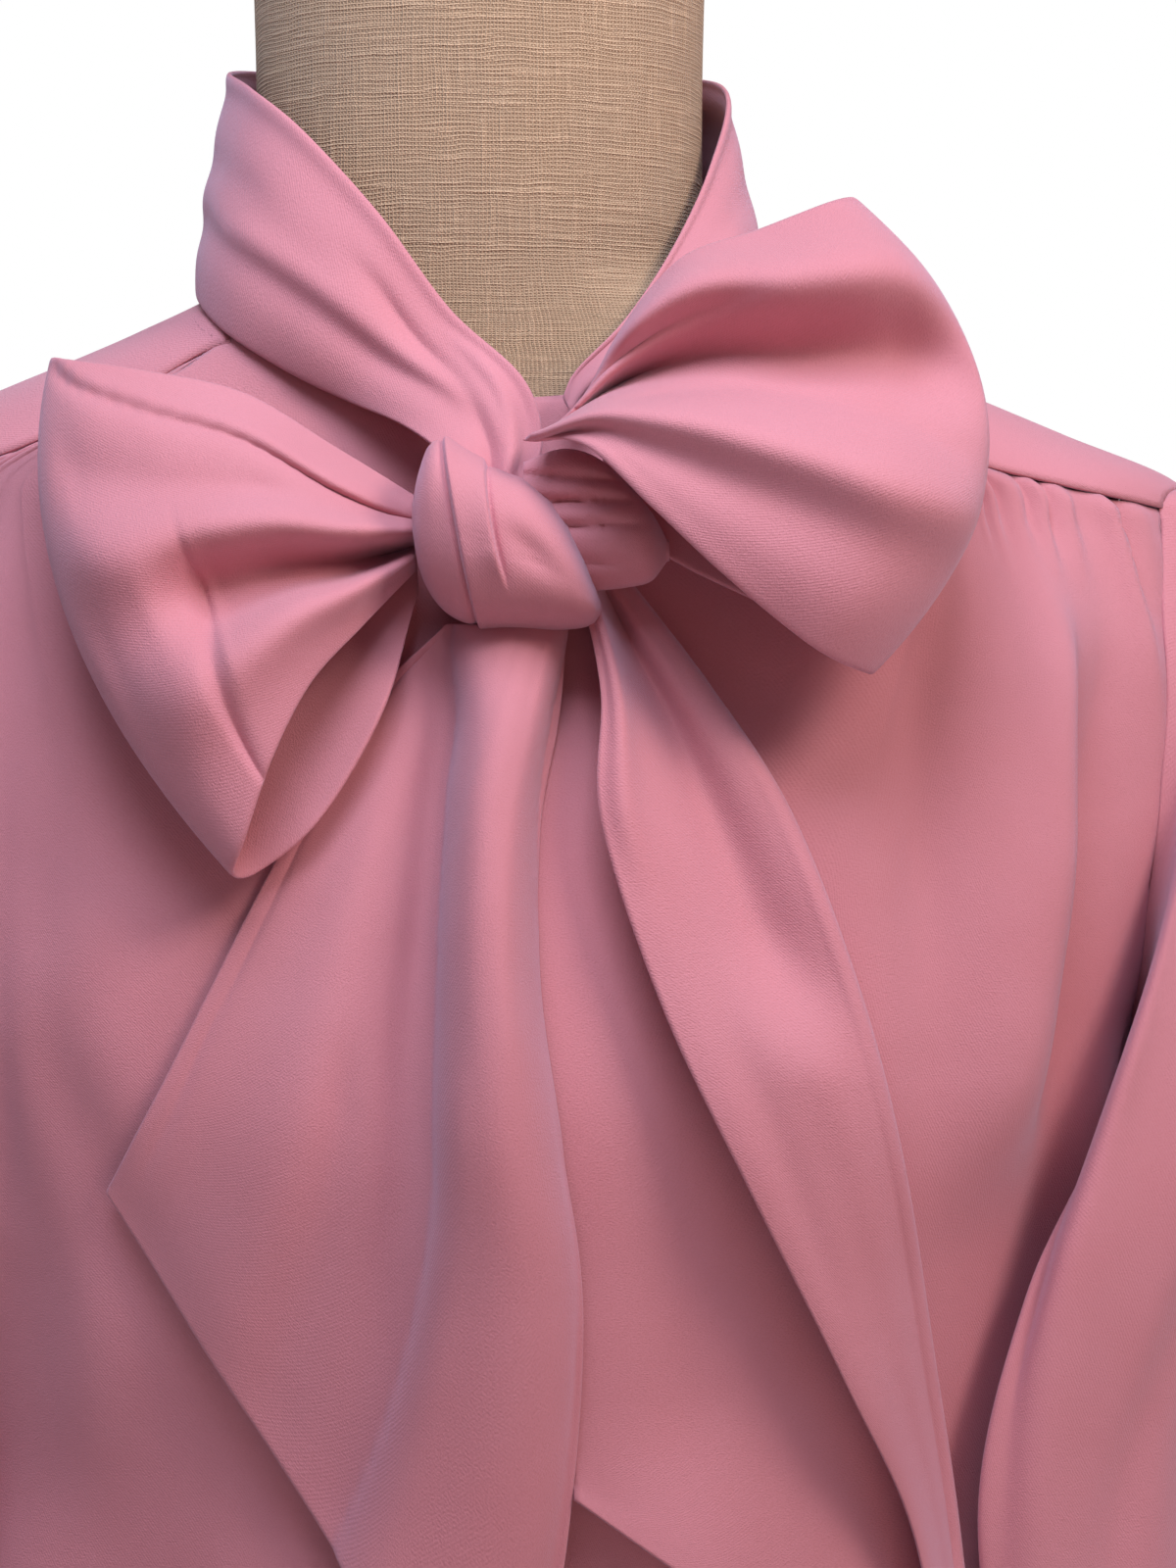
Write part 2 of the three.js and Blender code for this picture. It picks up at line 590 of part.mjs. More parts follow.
// Points at even steps along a path
function evenly(path, count) {
  const reach = [0];
  for (let n = 1; n < path.length; n += 1) reach.push(reach[n - 1] + path[n].distanceTo(path[n - 1]));
  const points = [];
  let n = 0;
  for (let k = 0; k < count; k += 1) {
    const want = reach[reach.length - 1] * k / (count - 1);
    while (n < path.length - 2 && reach[n + 1] < want) n += 1;
    const t = (want - reach[n]) / (reach[n + 1] - reach[n]);
    points.push(path[n].clone().lerp(path[n + 1], t));
  }
  return points;
}

function yoke() {
  const columns = [];
  for (let n = 0; n <= 34; n += 1) columns.push(yokeColumn(n / 17 - 1, yokeRows));
  return columns;
}

function body() {
  addPiece('blouse_front', wallFrom(frontPanel(), clothWall), crepe);
  addPiece('blouse_back', wallFrom(backPanel(), clothWall), crepe);
  addPiece('yoke', wallFrom(yoke(), clothWall), crepe);
}

// Sleeves

// One armhole, through the edge points of the front, the back and the yoke, from the shoulder
// point to the front, the armpit and up the back, each with its share of the way round
function armholeLoop(side) {
  const edge = (grid, low) => grid.slice(low).map((row) => row[side > 0 ? row.length - 1 : 0]);
  const front = edge(frontPanel(), frontLowRows).reverse();
  const back = edge(backPanel(), backLowRows).slice(1);
  const over = yokeColumn(side, yokeRows).slice(1, -1).reverse();
  const loop = [...front, ...back, ...over];
  const ridge = loop.reduce((best, p, n) => (p.z > loop[best].z ? n : best), 0);
  const points = [...loop.slice(ridge), ...loop.slice(0, ridge)];
  const reach = [0];
  points.forEach((p, n) => reach.push(reach[n] + p.distanceTo(points[(n + 1) % points.length])));
  const round = reach[points.length];
  return points.map((p, n) => ({ start: p, around: 2 * Math.PI * reach[n] / round }));
}

function sleevePush(around, z) {
  const degrees = around * 180 / Math.PI;
  let push = 0;
  for (const fold of sleeveFolds) {
    const fade = smooth((fold.top - z) / 60) * smooth((z - fold.low) / 60);
    push += fold.deep * bell((degrees - fold.turn) / fold.wide) * fade;
  }
  return push;
}

function sleeveRing(around, level) {
  const read = (column) => readTable(sleeveDown, 'down', -level, column);
  const turn = radians(read('turn'));
  const z = level + read('tilt') * Math.cos(around);
  const push = sleevePush(around, z);
  const a = (read('long') + push) * Math.cos(around + turn);
  const away = Math.sin(around + turn);
  const b = (lerp(read('inner'), read('outer'), smooth(away + 0.5)) + push) * away;
  return new THREE.Vector3(
    read('x') + Math.cos(turn) * a + Math.sin(turn) * b,
    read('y') + Math.sin(turn) * a - Math.cos(turn) * b,
    z,
  );
}

function sleeve(side) {
  const capRows = 5;
  const downRows = 9;
  const loop = armholeLoop(side);
  const flip = (p) => new THREE.Vector3(p.x * side, p.y, p.z);
  const grid = [];
  for (let i = 0; i < capRows; i += 1) {
    grid.push(loop.map(({ start, around }) => {
      const rise = (1 + Math.cos(around)) / 2;
      const step = new THREE.Vector3(sleeveGap + clothWall / 2, -sleeveStep * Math.sin(around), 0);
      const begin = flip(start).add(step);
      const bend = begin.clone().add(new THREE.Vector3(8 + capReach * rise, 0, -6));
      const end = sleeveRing(around, sleeveRings[0].z);
      return flip(new THREE.QuadraticBezierCurve3(begin, bend, end).getPoint(i / capRows));
    }));
  }
  const low = sleeveRings[sleeveRings.length - 1].z;
  for (let i = 0; i <= downRows; i += 1) {
    const level = lerp(sleeveRings[0].z, low, i / downRows);
    grid.push(loop.map(({ around }) => flip(sleeveRing(around, level))));
  }
  return grid;
}

function cuffGrid(side) {
  const turn = radians(sleeveRings[sleeveRings.length - 1].turn);
  return makeGrid(3, 20, (down, t) => {
    const a = cuff.long * Math.cos(2 * Math.PI * t + turn);
    const b = cuff.short * Math.sin(2 * Math.PI * t + turn);
    return new THREE.Vector3(
      side * (cuff.x + Math.cos(turn) * a + Math.sin(turn) * b),
      cuff.y + Math.sin(turn) * a - Math.cos(turn) * b,
      lerp(cuff.top, cuff.low, down),
    );
  }, true);
}

function sleeves() {
  for (const [name, side] of [['right', 1], ['left', -1]]) {
    addPiece(`sleeve_${name}`, wallFrom(sleeve(side), clothWall, true), crepe);
    addPiece(`cuff_${name}`, wallFrom(cuffGrid(side), bandWall, true), crepe);
  }
}

// Collar and bow

function collarGrid() {
  return makeGrid(37, 5, (along, rise) => {
    const read = (column) => readSteps(collarRows, along, column);
    const low = new THREE.Vector3(read('lowX'), read('lowY'), read('lowZ'));
    const top = new THREE.Vector3(read('topX'), read('topY'), read('topZ'));
    const p = low.lerp(top, rise);
    const away = new THREE.Vector3(p.x, p.y, 0).normalize();
    return p.addScaledVector(away, read('out') * Math.sin(Math.PI * rise) ** 0.8);
  });
}

function loopGrid(rows, steps) {
  return makeGrid(steps, 9, (along, across) => {
    const read = (column) => readSteps(rows, along, column);
    const top = new THREE.Vector3(read('topX'), read('topY'), read('topZ'));
    const low = new THREE.Vector3(read('lowX'), read('lowY'), read('lowZ'));
    const bow = 4 * across * (1 - across);
    const p = top.lerp(low, across);
    p.x += read('outX') * bow;
    p.y += read('outY') * bow + read('deep') * bell((across - read('at')) / pleatWide);
    return p;
  });
}

function knotGrid() {
  const grid = [];
  const slices = 13;
  const columns = 20;
  for (let i = 1; i < slices; i += 1) {
    const at = -Math.cos(Math.PI * i / slices);
    const full = (1 - Math.abs(at) ** 3) ** (1 / 2.6);
    const ring = [];
    for (let j = 0; j < columns; j += 1) {
      const around = 2 * Math.PI * j / columns;
      const facing = smooth((Math.cos(around) + 0.35) / 0.8);
      let groove = 0;
      for (const g of knotGrooves) groove += g.deep * bell((at - g.at) / g.wide);
      const y = (knot.halfY * full - groove * facing) * Math.cos(around);
      const z = (knot.halfZ * full - groove * facing) * Math.sin(around);
      ring.push(new THREE.Vector3(knot.x + knot.halfX * at, knot.y - y, knot.z + z));
    }
    grid.push(ring);
  }
  return grid;
}

function tailLeftGrid() {
  return makeGrid(13, 12, (down, across) => {
    const read = (column) => readSteps(tailLeft, down, column);
    const x = lerp(read('leftX'), read('rightX'), across);
    const z = lerp(read('leftZ'), read('rightZ'), across);
    const round = read('fold') * bell((across - read('at')) / read('wide'));
    const lift = lerp(read('nearLift'), read('farLift'), smooth(across * 1.6));
    return new THREE.Vector3(x, chestY(x, z) - lift - round, z);
  });
}

function tailRightGrid() {
  const backShare = 0.5;
  const turnShare = 0.66;
  const edgeLift = 3.8;
  return makeGrid(13, 17, (down, across) => {
    const read = (column) => readSteps(tailRight, down, column);
    const roll = read('roll');
    let x = 0;
    let z = 0;
    let lift = 0;
    if (across <= backShare) {
      x = lerp(read('leftX'), read('foldX'), across / backShare);
      z = lerp(read('leftZ'), read('foldZ'), across / backShare);
    } else if (across < turnShare) {
      const turn = Math.PI * (across - backShare) / (turnShare - backShare);
      x = read('foldX') + Math.sin(turn) * roll / 2;
      z = read('foldZ');
      lift = (1 - Math.cos(turn)) * roll / 2;
    } else {
      const back = (across - turnShare) / (1 - turnShare);
      x = lerp(read('foldX'), read('freeX'), back);
      z = lerp(read('foldZ'), read('freeZ'), back);
      lift = lerp(roll, edgeLift, smooth(back)) + 2 * Math.sin(Math.PI * back);
    }
    return new THREE.Vector3(x, chestY(Math.min(x, read('foldX')), z) - read('lift') - lift, z);
  });
}

function neckwear() {
  addPiece('collar', wallFrom(collarGrid(), bandWall), crepe);
  addPiece('bow_knot', lump(knotGrid()), crepe);
  addPiece('bow_loop_left', wallFrom(loopGrid(loopLeft, 19), bandWall), crepe);
  addPiece('bow_loop_right', wallFrom(loopGrid(loopRight, 19), bandWall), crepe);
  addPiece('tail_left', wallFrom(tailLeftGrid(), bandWall), crepe);
  addPiece('tail_right', wallFrom(tailRightGrid(), bandWall), crepe);
}

stand();
body();
sleeves();
neckwear();

export default part;
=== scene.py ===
# Tie neck blouse in dusty pink crepe, bowed at the throat, on a linen-covered dress form.
# Tables are in millimetres and go through mm once, where a mesh is made. The front faces -Y.
import math
import bmesh
import bpy
import numpy as np
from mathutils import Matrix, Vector


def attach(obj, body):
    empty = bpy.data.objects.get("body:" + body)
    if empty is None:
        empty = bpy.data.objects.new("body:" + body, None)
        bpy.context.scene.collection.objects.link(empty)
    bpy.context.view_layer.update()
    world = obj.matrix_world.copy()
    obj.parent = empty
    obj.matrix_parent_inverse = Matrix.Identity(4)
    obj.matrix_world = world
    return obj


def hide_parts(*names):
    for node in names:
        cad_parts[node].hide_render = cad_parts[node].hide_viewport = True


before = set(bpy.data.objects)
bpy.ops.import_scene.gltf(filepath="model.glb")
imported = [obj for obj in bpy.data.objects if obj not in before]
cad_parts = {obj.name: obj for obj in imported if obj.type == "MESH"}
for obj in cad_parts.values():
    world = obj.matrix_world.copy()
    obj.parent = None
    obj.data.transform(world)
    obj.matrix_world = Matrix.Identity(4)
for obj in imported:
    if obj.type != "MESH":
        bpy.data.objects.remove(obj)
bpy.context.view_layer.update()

mm = 0.001


# Shader wiring

class Wire:  # a socket that can stand in a sum
    def __init__(self, recipe, socket):
        self.recipe, self.socket = recipe, socket

    def maths(self, operation, a, b=0.0):
        return self.recipe.node("Math", {"operation": operation}, {0: a, 1: b})

    def __add__(self, other):
        return self.maths("ADD", self, other)

    def __sub__(self, other):
        return self.maths("SUBTRACT", self, other)

    def __rsub__(self, other):
        return self.maths("SUBTRACT", other, self)

    def __mul__(self, other):
        return self.maths("MULTIPLY", self, other)

    def __pow__(self, other):
        return self.maths("POWER", self, other)

    def wave(self):
        return self.maths("SINE", self)

    def size(self):
        return self.maths("ABSOLUTE", self)


class Recipe:  # one material, or the room, with one way to add a node
    def __init__(self, name, room=False):
        self.material = (bpy.data.worlds if room else bpy.data.materials).new(name)
        self.material.use_nodes = True
        self.tree = self.material.node_tree
        self.tree.nodes.clear()

    def node(self, kind, settings=None, sockets=None, out=0):
        made = self.tree.nodes.new("ShaderNode" + kind)
        for key, value in (settings or {}).items():
            if key == "stops":
                self.setStops(made.color_ramp, value)
            else:
                setattr(made, key, value)
        for key, value in (sockets or {}).items():
            self.feed(self.pick(made.inputs, key), value)
        return None if out is None else Wire(self, self.pick(made.outputs, out))

    def pick(self, sockets, key):
        if isinstance(key, int):
            return sockets[key]
        return next(s for s in sockets if key in (s.identifier, s.name))

    def feed(self, socket, value):
        if isinstance(value, Wire):
            self.tree.links.new(value.socket, socket)
        else:
            socket.default_value = value

    def setStops(self, ramp, stops):
        while len(ramp.elements) < len(stops):
            ramp.elements.new(0.5)
        for element, (place, colour) in zip(ramp.elements, stops):
            element.position, element.color = place, (*colour, 1)

    def mix(self, factor, a, b):
        a, b = [c if isinstance(c, Wire) else (*c, 1) for c in (a, b)]
        return self.node("Mix", {"data_type": "RGBA"},
                         {"Factor_Float": factor, "A_Color": a, "B_Color": b}, "Result_Color")

    def noise(self, place, scale, detail=2.0, roughness=0.5):
        return self.node("TexNoise", {}, {"Vector": place, "Scale": scale, "Detail": detail,
                                          "Roughness": roughness})

    def between(self, value, low, high):
        return self.node("MapRange", {}, {"Value": value, "From Min": low, "From Max": high})

    def scaled(self, place, factors):
        return self.node("VectorMath", {"operation": "MULTIPLY"}, {0: place, 1: factors})

    def finish(self, surface):
        shader = self.node("BsdfPrincipled", {}, surface)
        self.node("OutputMaterial", {}, {"Surface": shader}, None)
        return self.material


crepeFinish = dict(light=(0.66, 0.272, 0.322), deep=(0.52, 0.155, 0.165), ribs=1500, lean=0.62,
                   pebble=1500, ribShare=0.12, cloudSize=14.0, creaseSize=90.0, bump=0.6,
                   bumpDepth=0.0006, roughness=0.64, sheen=0.4, sheenTint=(0.72, 0.76, 1.0))


def makeCrepe(name, finish, shade=1.0):
    r = Recipe(name)
    cloth = r.node("UVMap", {"uv_map": "cloth"})
    place = r.node("TexCoord", {}, {}, "Object")
    parts = r.node("SeparateXYZ", {}, {0: cloth})
    u, v = parts, Wire(r, parts.socket.node.outputs[1])
    twill = ((u + v * finish["lean"]) * (finish["ribs"] * math.tau)).wave() * 0.5 + 0.5
    pebble = r.noise(r.scaled(cloth, (finish["pebble"], finish["pebble"] * 1.5, 1)), 1.0, 3.0, 0.65)
    grain = pebble * (1 - finish["ribShare"]) + twill * finish["ribShare"]
    clouds = r.noise(place, finish["cloudSize"], 3.0, 0.55)
    creases = r.noise(place, finish["creaseSize"], 4.0, 0.6)
    light = [c * shade for c in finish["light"]]
    deep = [c * shade for c in finish["deep"]]
    # deeper tone in random clouds, plus painted shade in the dips of the pebble grain, where the bump is low
    # too
    base = r.mix(r.between(clouds, 0.35, 0.68) * 0.22 + (1 - pebble) * 0.5, light, deep)
    height = grain * 0.9 + creases * 0.25
    bump = r.node("Bump", {}, {"Strength": finish["bump"], "Distance": finish["bumpDepth"],
                               "Height": height})
    return r.finish({
        "Base Color": base, "Roughness": r.between(creases, 0.2, 0.8) * 0.12 + finish["roughness"],
        "Sheen Weight": finish["sheen"], "Sheen Roughness": 0.45,
        "Sheen Tint": (*finish["sheenTint"], 1), "Specular IOR Level": 0.32, "Normal": bump})


linenFinish = dict(pale=(0.76, 0.53, 0.34), dark=(0.26, 0.165, 0.095), stain=(0.44, 0.32, 0.22),
                   threads=980, wobble=0.0022, bump=0.9, bumpDepth=0.0005, roughness=0.92)


def makeLinen(finish):
    r = Recipe("beige linen")
    cloth = r.node("UVMap", {"uv_map": "cloth"})
    wobble = r.noise(r.scaled(cloth, (60, 60, 1)), 1.0, 2.0) * finish["wobble"]
    parts = r.node("SeparateXYZ", {}, {0: cloth})
    u, v = parts + wobble, Wire(r, parts.socket.node.outputs[1]) + wobble
    turns = finish["threads"] * math.tau / 2
    warp, weft = (u * turns).wave(), (v * turns).wave()
    over = (warp * weft) * 0.5 + 0.5   # which thread lies on top
    warpRound, weftRound = [1 - (place * turns * 2).wave().size() * 0.5 for place in (u, v)]
    weave = over * warpRound + (1 - over) * weftRound
    slubAcross = r.noise(r.scaled(cloth, (35, 620, 1)), 1.0, 2.0, 0.6)
    slubDown = r.noise(r.scaled(cloth, (620, 35, 1)), 1.0, 2.0, 0.6)
    slub = r.between(slubAcross, 0.5, 0.72) + r.between(slubDown, 0.52, 0.74)
    stain = r.noise(r.node("TexCoord", {}, {}, "Object"), 22.0, 4.0, 0.6)
    gaps = 1 - ((1 - warp.size()) * (1 - weft.size())) ** 0.7   # dark only where the gaps cross; in the colour this is painted shade in the weave's holes
    colour = r.mix(gaps * 0.9 - 0.28 + slub * 0.2, finish["dark"], finish["pale"])
    colour = r.mix(r.between(stain, 0.4, 0.75) * 0.5, colour, finish["stain"])
    bump = r.node("Bump", {}, {"Strength": finish["bump"], "Distance": finish["bumpDepth"],
                               "Height": weave * 0.8 + gaps * 0.6 + slub * 0.5})
    return r.finish({"Base Color": colour, "Roughness": finish["roughness"], "Sheen Weight": 0.15,
                     "Specular IOR Level": 0.2, "Normal": bump})


steelFinish = dict(paint=(0.022, 0.021, 0.02), rubbed=(0.1, 0.095, 0.09))
woodFinish = dict(dark=(0.045, 0.024, 0.013), light=(0.13, 0.066, 0.03))


def makePaintedSteel(finish):
    r = Recipe("black painted steel")
    place = r.node("TexCoord", {}, {}, "Object")
    specks = r.noise(place, 900.0, 2.0)
    rubs = r.between(r.noise(r.scaled(place, (40, 40, 4)), 3.0, 4.0, 0.7), 0.62, 0.75)
    bump = r.node("Bump", {}, {"Strength": 0.15, "Distance": 0.0002, "Height": specks})
    return r.finish({"Base Color": r.mix(rubs * 0.4, finish["paint"], finish["rubbed"]),
                     "Roughness": rubs * 0.2 + 0.34, "Specular IOR Level": 0.5, "Normal": bump})


def makeStainedWood(finish):
    r = Recipe("dark stained wood")
    place = r.node("TexCoord", {}, {}, "Object")
    streak = r.noise(r.scaled(place, (6, 90, 60)), 1.0, 5.0, 0.6)
    pores = r.noise(r.scaled(place, (30, 900, 500)), 1.0, 2.0)
    colour = r.mix(r.between(streak, 0.35, 0.7), finish["dark"], finish["light"])
    bump = r.node("Bump", {}, {"Strength": 0.25, "Distance": 0.0004, "Height": streak * 0.4 + pores * 0.6})
    return r.finish({"Base Color": colour, "Roughness": pores * 0.15 + 0.38, "Coat Weight": 0.25,
                     "Coat Roughness": 0.2, "Normal": bump})


crepe = makeCrepe("dusty pink crepe", crepeFinish)
linen = makeLinen(linenFinish)
steel = makePaintedSteel(steelFinish)
wood = makeStainedWood(woodFinish)
print("four finishes mixed")


# Shapes from tables

def rows(names, *lines):
    names = names.split()
    return {name: np.array([line[i] for line in lines], float) for i, name in enumerate(names)}


def readTable(table, key, value, column):  # a smooth curve through the rows, at any value of the key
    keys, values = table[key], table[column]
    count = np.arange(len(keys))
    ahead, behind = np.minimum(count + 1, len(keys) - 1), np.maximum(count - 1, 0)
    slopes = (values[ahead] - values[behind]) / (keys[ahead] - keys[behind])
    at = np.clip(value, keys[0], keys[-1])
    i = np.clip(np.searchsorted(keys, at, side="right") - 1, 0, len(keys) - 2)
    span = keys[i + 1] - keys[i]
    t = (at - keys[i]) / span
    return (values[i] * (2 * t**3 - 3 * t**2 + 1) + slopes[i] * span * (t**3 - 2 * t**2 + t)
            + values[i + 1] * (3 * t**2 - 2 * t**3) + slopes[i + 1] * span * (t**3 - t**2))


def readSteps(table, t, column):  # the same, for rows evenly spaced from 0 to 1
    count = len(table[column])
    return readTable({"step": np.linspace(0, 1, count), column: table[column]}, "step", t, column)


def smooth(t):
    k = np.clip(t, 0, 1)
    return k * k * (3 - 2 * k)


def bell(distance):
    return np.exp(-np.square(distance))


def lerp(a, b, t):
    return a + (b - a) * t


def joinXyz(x, y, z):
    x, y, z = np.broadcast_arrays(x, y, z)
    return np.stack([x, y, z], axis=-1).astype(float)


def unit(v):
    return v / np.maximum(np.linalg.norm(v, axis=-1, keepdims=True), 1e-9)


def spread(p, first=0):  # shares down the rows of a piece and across its columns
    return np.linspace(0, 1, p["rows"])[:, None], np.linspace(first, 1, p["columns"])[None, :]


def place3(read, word):  # a point from the columns wordX, wordY and wordZ
    return joinXyz(*[read(word + axis) for axis in "XYZ"])


def wander(seed, places, size):  # slow, repeatable unevenness, -1 to 1
    rng = np.random.default_rng(seed)
    total = np.zeros_like(places, dtype=float)
    for n in range(1, 6):
        start, height = rng.uniform(0, math.tau), rng.uniform(0.4, 1)
        total = total + np.sin(places * math.tau * n / size + start) * height / n
    return total / 1.8


backwards = np.array([0.0, 1.0, 0.0])
foldLook = dict(wander=0.008, wanderOver=0.7, endsBy=0.18, endsOver=0.3)


def pressFolds(grid, folds, facing, seed):
    # each fold runs from one point of the piece to another, in shares along and across it
    look = foldLook
    count, width = grid.shape[:2]
    along, across = np.meshgrid(np.linspace(0, 1, count), np.linspace(0, 1, width), indexing="ij")
    push = np.zeros_like(along)
    for n, (a0, c0, a1, c1, wide0, wide1, deep, bow, *crisp) in enumerate(folds):
        t = (along - a0) / (a1 - a0)
        inside = np.clip(t, 0, 1)
        centre = lerp(c0, c1, inside) + bow * 4 * inside * (1 - inside)
        centre = centre + look["wander"] * wander(seed + n, along, look["wanderOver"])
        wide = lerp(wide0, wide1, inside)
        ends = smooth((t + look["endsBy"]) / look["endsOver"])
        ends = ends * smooth((1 + look["endsBy"] - t) / look["endsOver"])
        push += deep * np.exp(-np.abs((across - centre) / wide) ** (crisp[0] if crisp else 2)) * ends
    return grid + facing * push[..., None]


# Cloth

fineWall = 0.9


def clothUv(grid, fitted=False):  # lengths along the cloth in metres, or each row by its own girth
    steps0 = np.linalg.norm(np.diff(grid, axis=0), axis=-1).mean(1)
    steps1 = np.linalg.norm(np.diff(grid, axis=1), axis=-1).mean(0)
    v = np.concatenate([[0], np.cumsum(steps0)]) * mm
    u = np.concatenate([[0], np.cumsum(steps1)]) * mm
    across, up = np.meshgrid(u, v)
    if fitted:
        girths = np.linalg.norm(np.diff(grid, axis=1), axis=-1).sum(1)[:, None] * mm
        across = (across / u[-1] - 0.5) * girths
    return np.stack([across, up], axis=-1)


def meshFromGrid(name, grid, around=False, fitted=False):
    count, width = grid.shape[:2]
    at = np.arange(count * width).reshape(count, width)
    closed = np.concatenate([grid, grid[:, :1]], 1) if around else grid
    uv = clothUv(closed, fitted)
    left, right = (at, np.roll(at, -1, 1)) if around else (at[:, :-1], at[:, 1:])
    faces = np.stack([left[:-1], right[:-1], right[1:], left[1:]], axis=-1).reshape(-1, 4)
    u0, u1 = uv[:, :-1], uv[:, 1:]
    corners = np.stack([u0[:-1], u1[:-1], u1[1:], u0[1:]], axis=-2).reshape(-1, 2)
    mesh = bpy.data.meshes.new(name)
    mesh.from_pydata((grid.reshape(-1, 3) * mm).tolist(), [], faces.tolist())
    layer = mesh.uv_layers.new(name="cloth")
    layer.data.foreach_set("uv", corners.astype(np.float32).ravel())
    mesh.shade_smooth()
    made = bpy.data.objects.new(name, mesh)
    bpy.context.collection.objects.link(made)
    return made


def settle(piece):  # the modifiers' result, as a plain mesh
    bpy.context.view_layer.update()
    graph = bpy.context.evaluated_depsgraph_get()
    mesh = bpy.data.meshes.new_from_object(piece.evaluated_get(graph))
    piece.modifiers.clear()
    piece.data = mesh
    piece.data.shade_smooth()
    return piece


def addWall(piece, thick, soft=1):
    wall = piece.modifiers.new("wall", "SOLIDIFY")
    wall.thickness, wall.offset, wall.use_even_offset = thick * mm, 0, False
    if soft:
        rounded = piece.modifiers.new("soft edges", "SUBSURF")
        rounded.levels = rounded.render_levels = soft
    return settle(piece)


def claim(piece, stands=None):
    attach(piece, "root")
    if stands:
        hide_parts(stands)


def sewnPiece(name, grid, made, stands, around=False):
    piece = meshFromGrid(name, grid, around)
    area = sum(f.area for f in piece.data.polygons)
    addWall(piece, made.get("thick", fineWall), made.get("soft", 1))
    piece.data.materials.clear()
    piece.data.materials.append(crepe)
    claim(piece, stands)
    print(f"{name}: cloth {area:.4f} m2, {len(piece.data.polygons)} faces")
    return piece


# Dress form

squareness = 0.035
formRings = rows(
    "z side front back",
    (215, 140, 95, 100), (300, 150, 100, 107), (400, 122, 86, 84), (480, 128, 94, 86),
    (560, 144, 108, 93), (620, 156, 113, 98), (680, 162, 98, 100), (720, 166, 81, 97),
    (745, 169, 69, 91), (760, 168, 62, 85), (772, 157, 57.5, 79.5), (784, 145, 55, 74.5),
    (796, 115, 52, 68), (810, 80.5, 50, 62), (822, 59.8, 49.5, 57.5), (838, 58, 50, 55),
    (870, 57.5, 51, 54), (915, 58.5, 52.5, 55))
formBody = dict(columns=192, levels=180, edge=4, seams=(0, 62, 118, 180, -62, -118), seamDeep=0.5,
                seamWide=0.9, neckZ=800, capShares=(0.75, 0.5, 0.25, 0.004), pinHole=0.0002)


def ringPoint(rings, turn, z, out=0.0):  # out from the middle at an angle round from the front
    side = readTable(rings, "z", z, "side")
    front, back = readTable(rings, "z", z, "front"), readTable(rings, "z", z, "back")
    depth = np.where(np.abs(turn) > math.pi / 2, back, front)
    full = 1 + squareness * np.sin(2 * turn) ** 2
    return joinXyz((side * full + out) * np.sin(turn), -(depth * full + out) * np.cos(turn), z)


def makeForm():
    b = formBody
    turn = np.linspace(-math.pi, math.pi, b["columns"], endpoint=False)[None, :]
    z = np.linspace(formRings["z"][0], formRings["z"][-1], b["levels"])[:, None]
    z, turn = np.broadcast_arrays(z, turn)
    dip = np.zeros_like(turn, dtype=float)
    for seam in b["seams"]:
        away = (np.degrees(turn) - seam + 180) % 360 - 180
        dip -= b["seamDeep"] * bell(away / b["seamWide"]) * (z < b["neckZ"])
    ends = np.minimum(z - z.min(), z.max() - z)
    rounding = b["edge"] - np.sqrt(np.maximum(b["edge"]**2 - np.clip(b["edge"] - ends, 0, None)**2, 0))
    grid = ringPoint(formRings, turn, z, dip - rounding)
    rings = [grid]
    for end in (0, -1):   # close the top and the underside with flat rings
        rim = grid[end]
        inner = np.array([rim * (s, s, 0) + (0, 0, rim[0, 2]) for s in b["capShares"]])
        rings = [*rings, inner] if end else [inner[::-1], *rings]
    piece = meshFromGrid("linen_form", np.concatenate(rings), around=True, fitted=True)
    turnOut(piece)
    piece.data.materials.append(linen)
    claim(piece, "form_torso")


def turnOut(piece):  # close the pin holes at the poles and face every side outwards
    b = bmesh.new()
    b.from_mesh(piece.data)
    bmesh.ops.remove_doubles(b, verts=b.verts, dist=formBody["pinHole"])
    holes = [e for e in b.edges if e.is_boundary]
    if holes:
        bmesh.ops.holes_fill(b, edges=holes)
    bmesh.ops.recalc_face_normals(b, faces=b.faces)
    b.to_mesh(piece.data)
    b.free()


makeForm()
for node, finish in (("stand_pole", steel), ("stand_base", wood)):
    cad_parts[node].data.materials.clear()
    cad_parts[node].data.materials.append(finish)
print("dress form covered, stand finished")


# Blouse body

blouseRings = rows(
    "z side front back",
    (190, 172, 128, 124), (300, 167, 122, 121), (400, 156, 117, 109), (515, 150, 117, 104),
    (580, 156, 121, 107), (625, 168, 123, 111), (665, 177, 114, 112), (700, 183, 100, 110),
    (730, 186, 85, 103), (745, 186, 77, 98), (760, 185, 68, 91), (772, 180.5, 63, 85),
    (784, 152, 59, 79), (796, 123, 56, 72.5), (810, 89, 54.5, 66.5), (822, 66, 53.5, 61.5),
    (838, 62, 53, 58.5))
frontEdge = rows("x z", (0, 786), (22, 787), (36, 790), (48, 796), (60, 805), (88, 790.5),
                 (117, 777.5), (145, 770.5), (173, 765))
yokeNeck = rows("turn z", (36, 805), (60, 814), (90, 820), (130, 826), (180, 829))
armhole = rows("z x", (625, 168), (640, 167), (665, 167), (700, 168), (735, 170.5), (752, 172),
               (765, 173))
blouse = dict(hemZ=190, armpitZ=625, seamX=173, neckX=60, backSeamZ=745, footZ=836,
              drawnFromZ=560, seamGap=0.5, panelDraw=5, neckShare=0.22, foldFade=45, tailGap=0.8,
              underSeam=0.3, plainChest=(0.15, 0.2), hemUp=13, hemHigh=0.35, hemWide=1.2, seamWide=1.6)
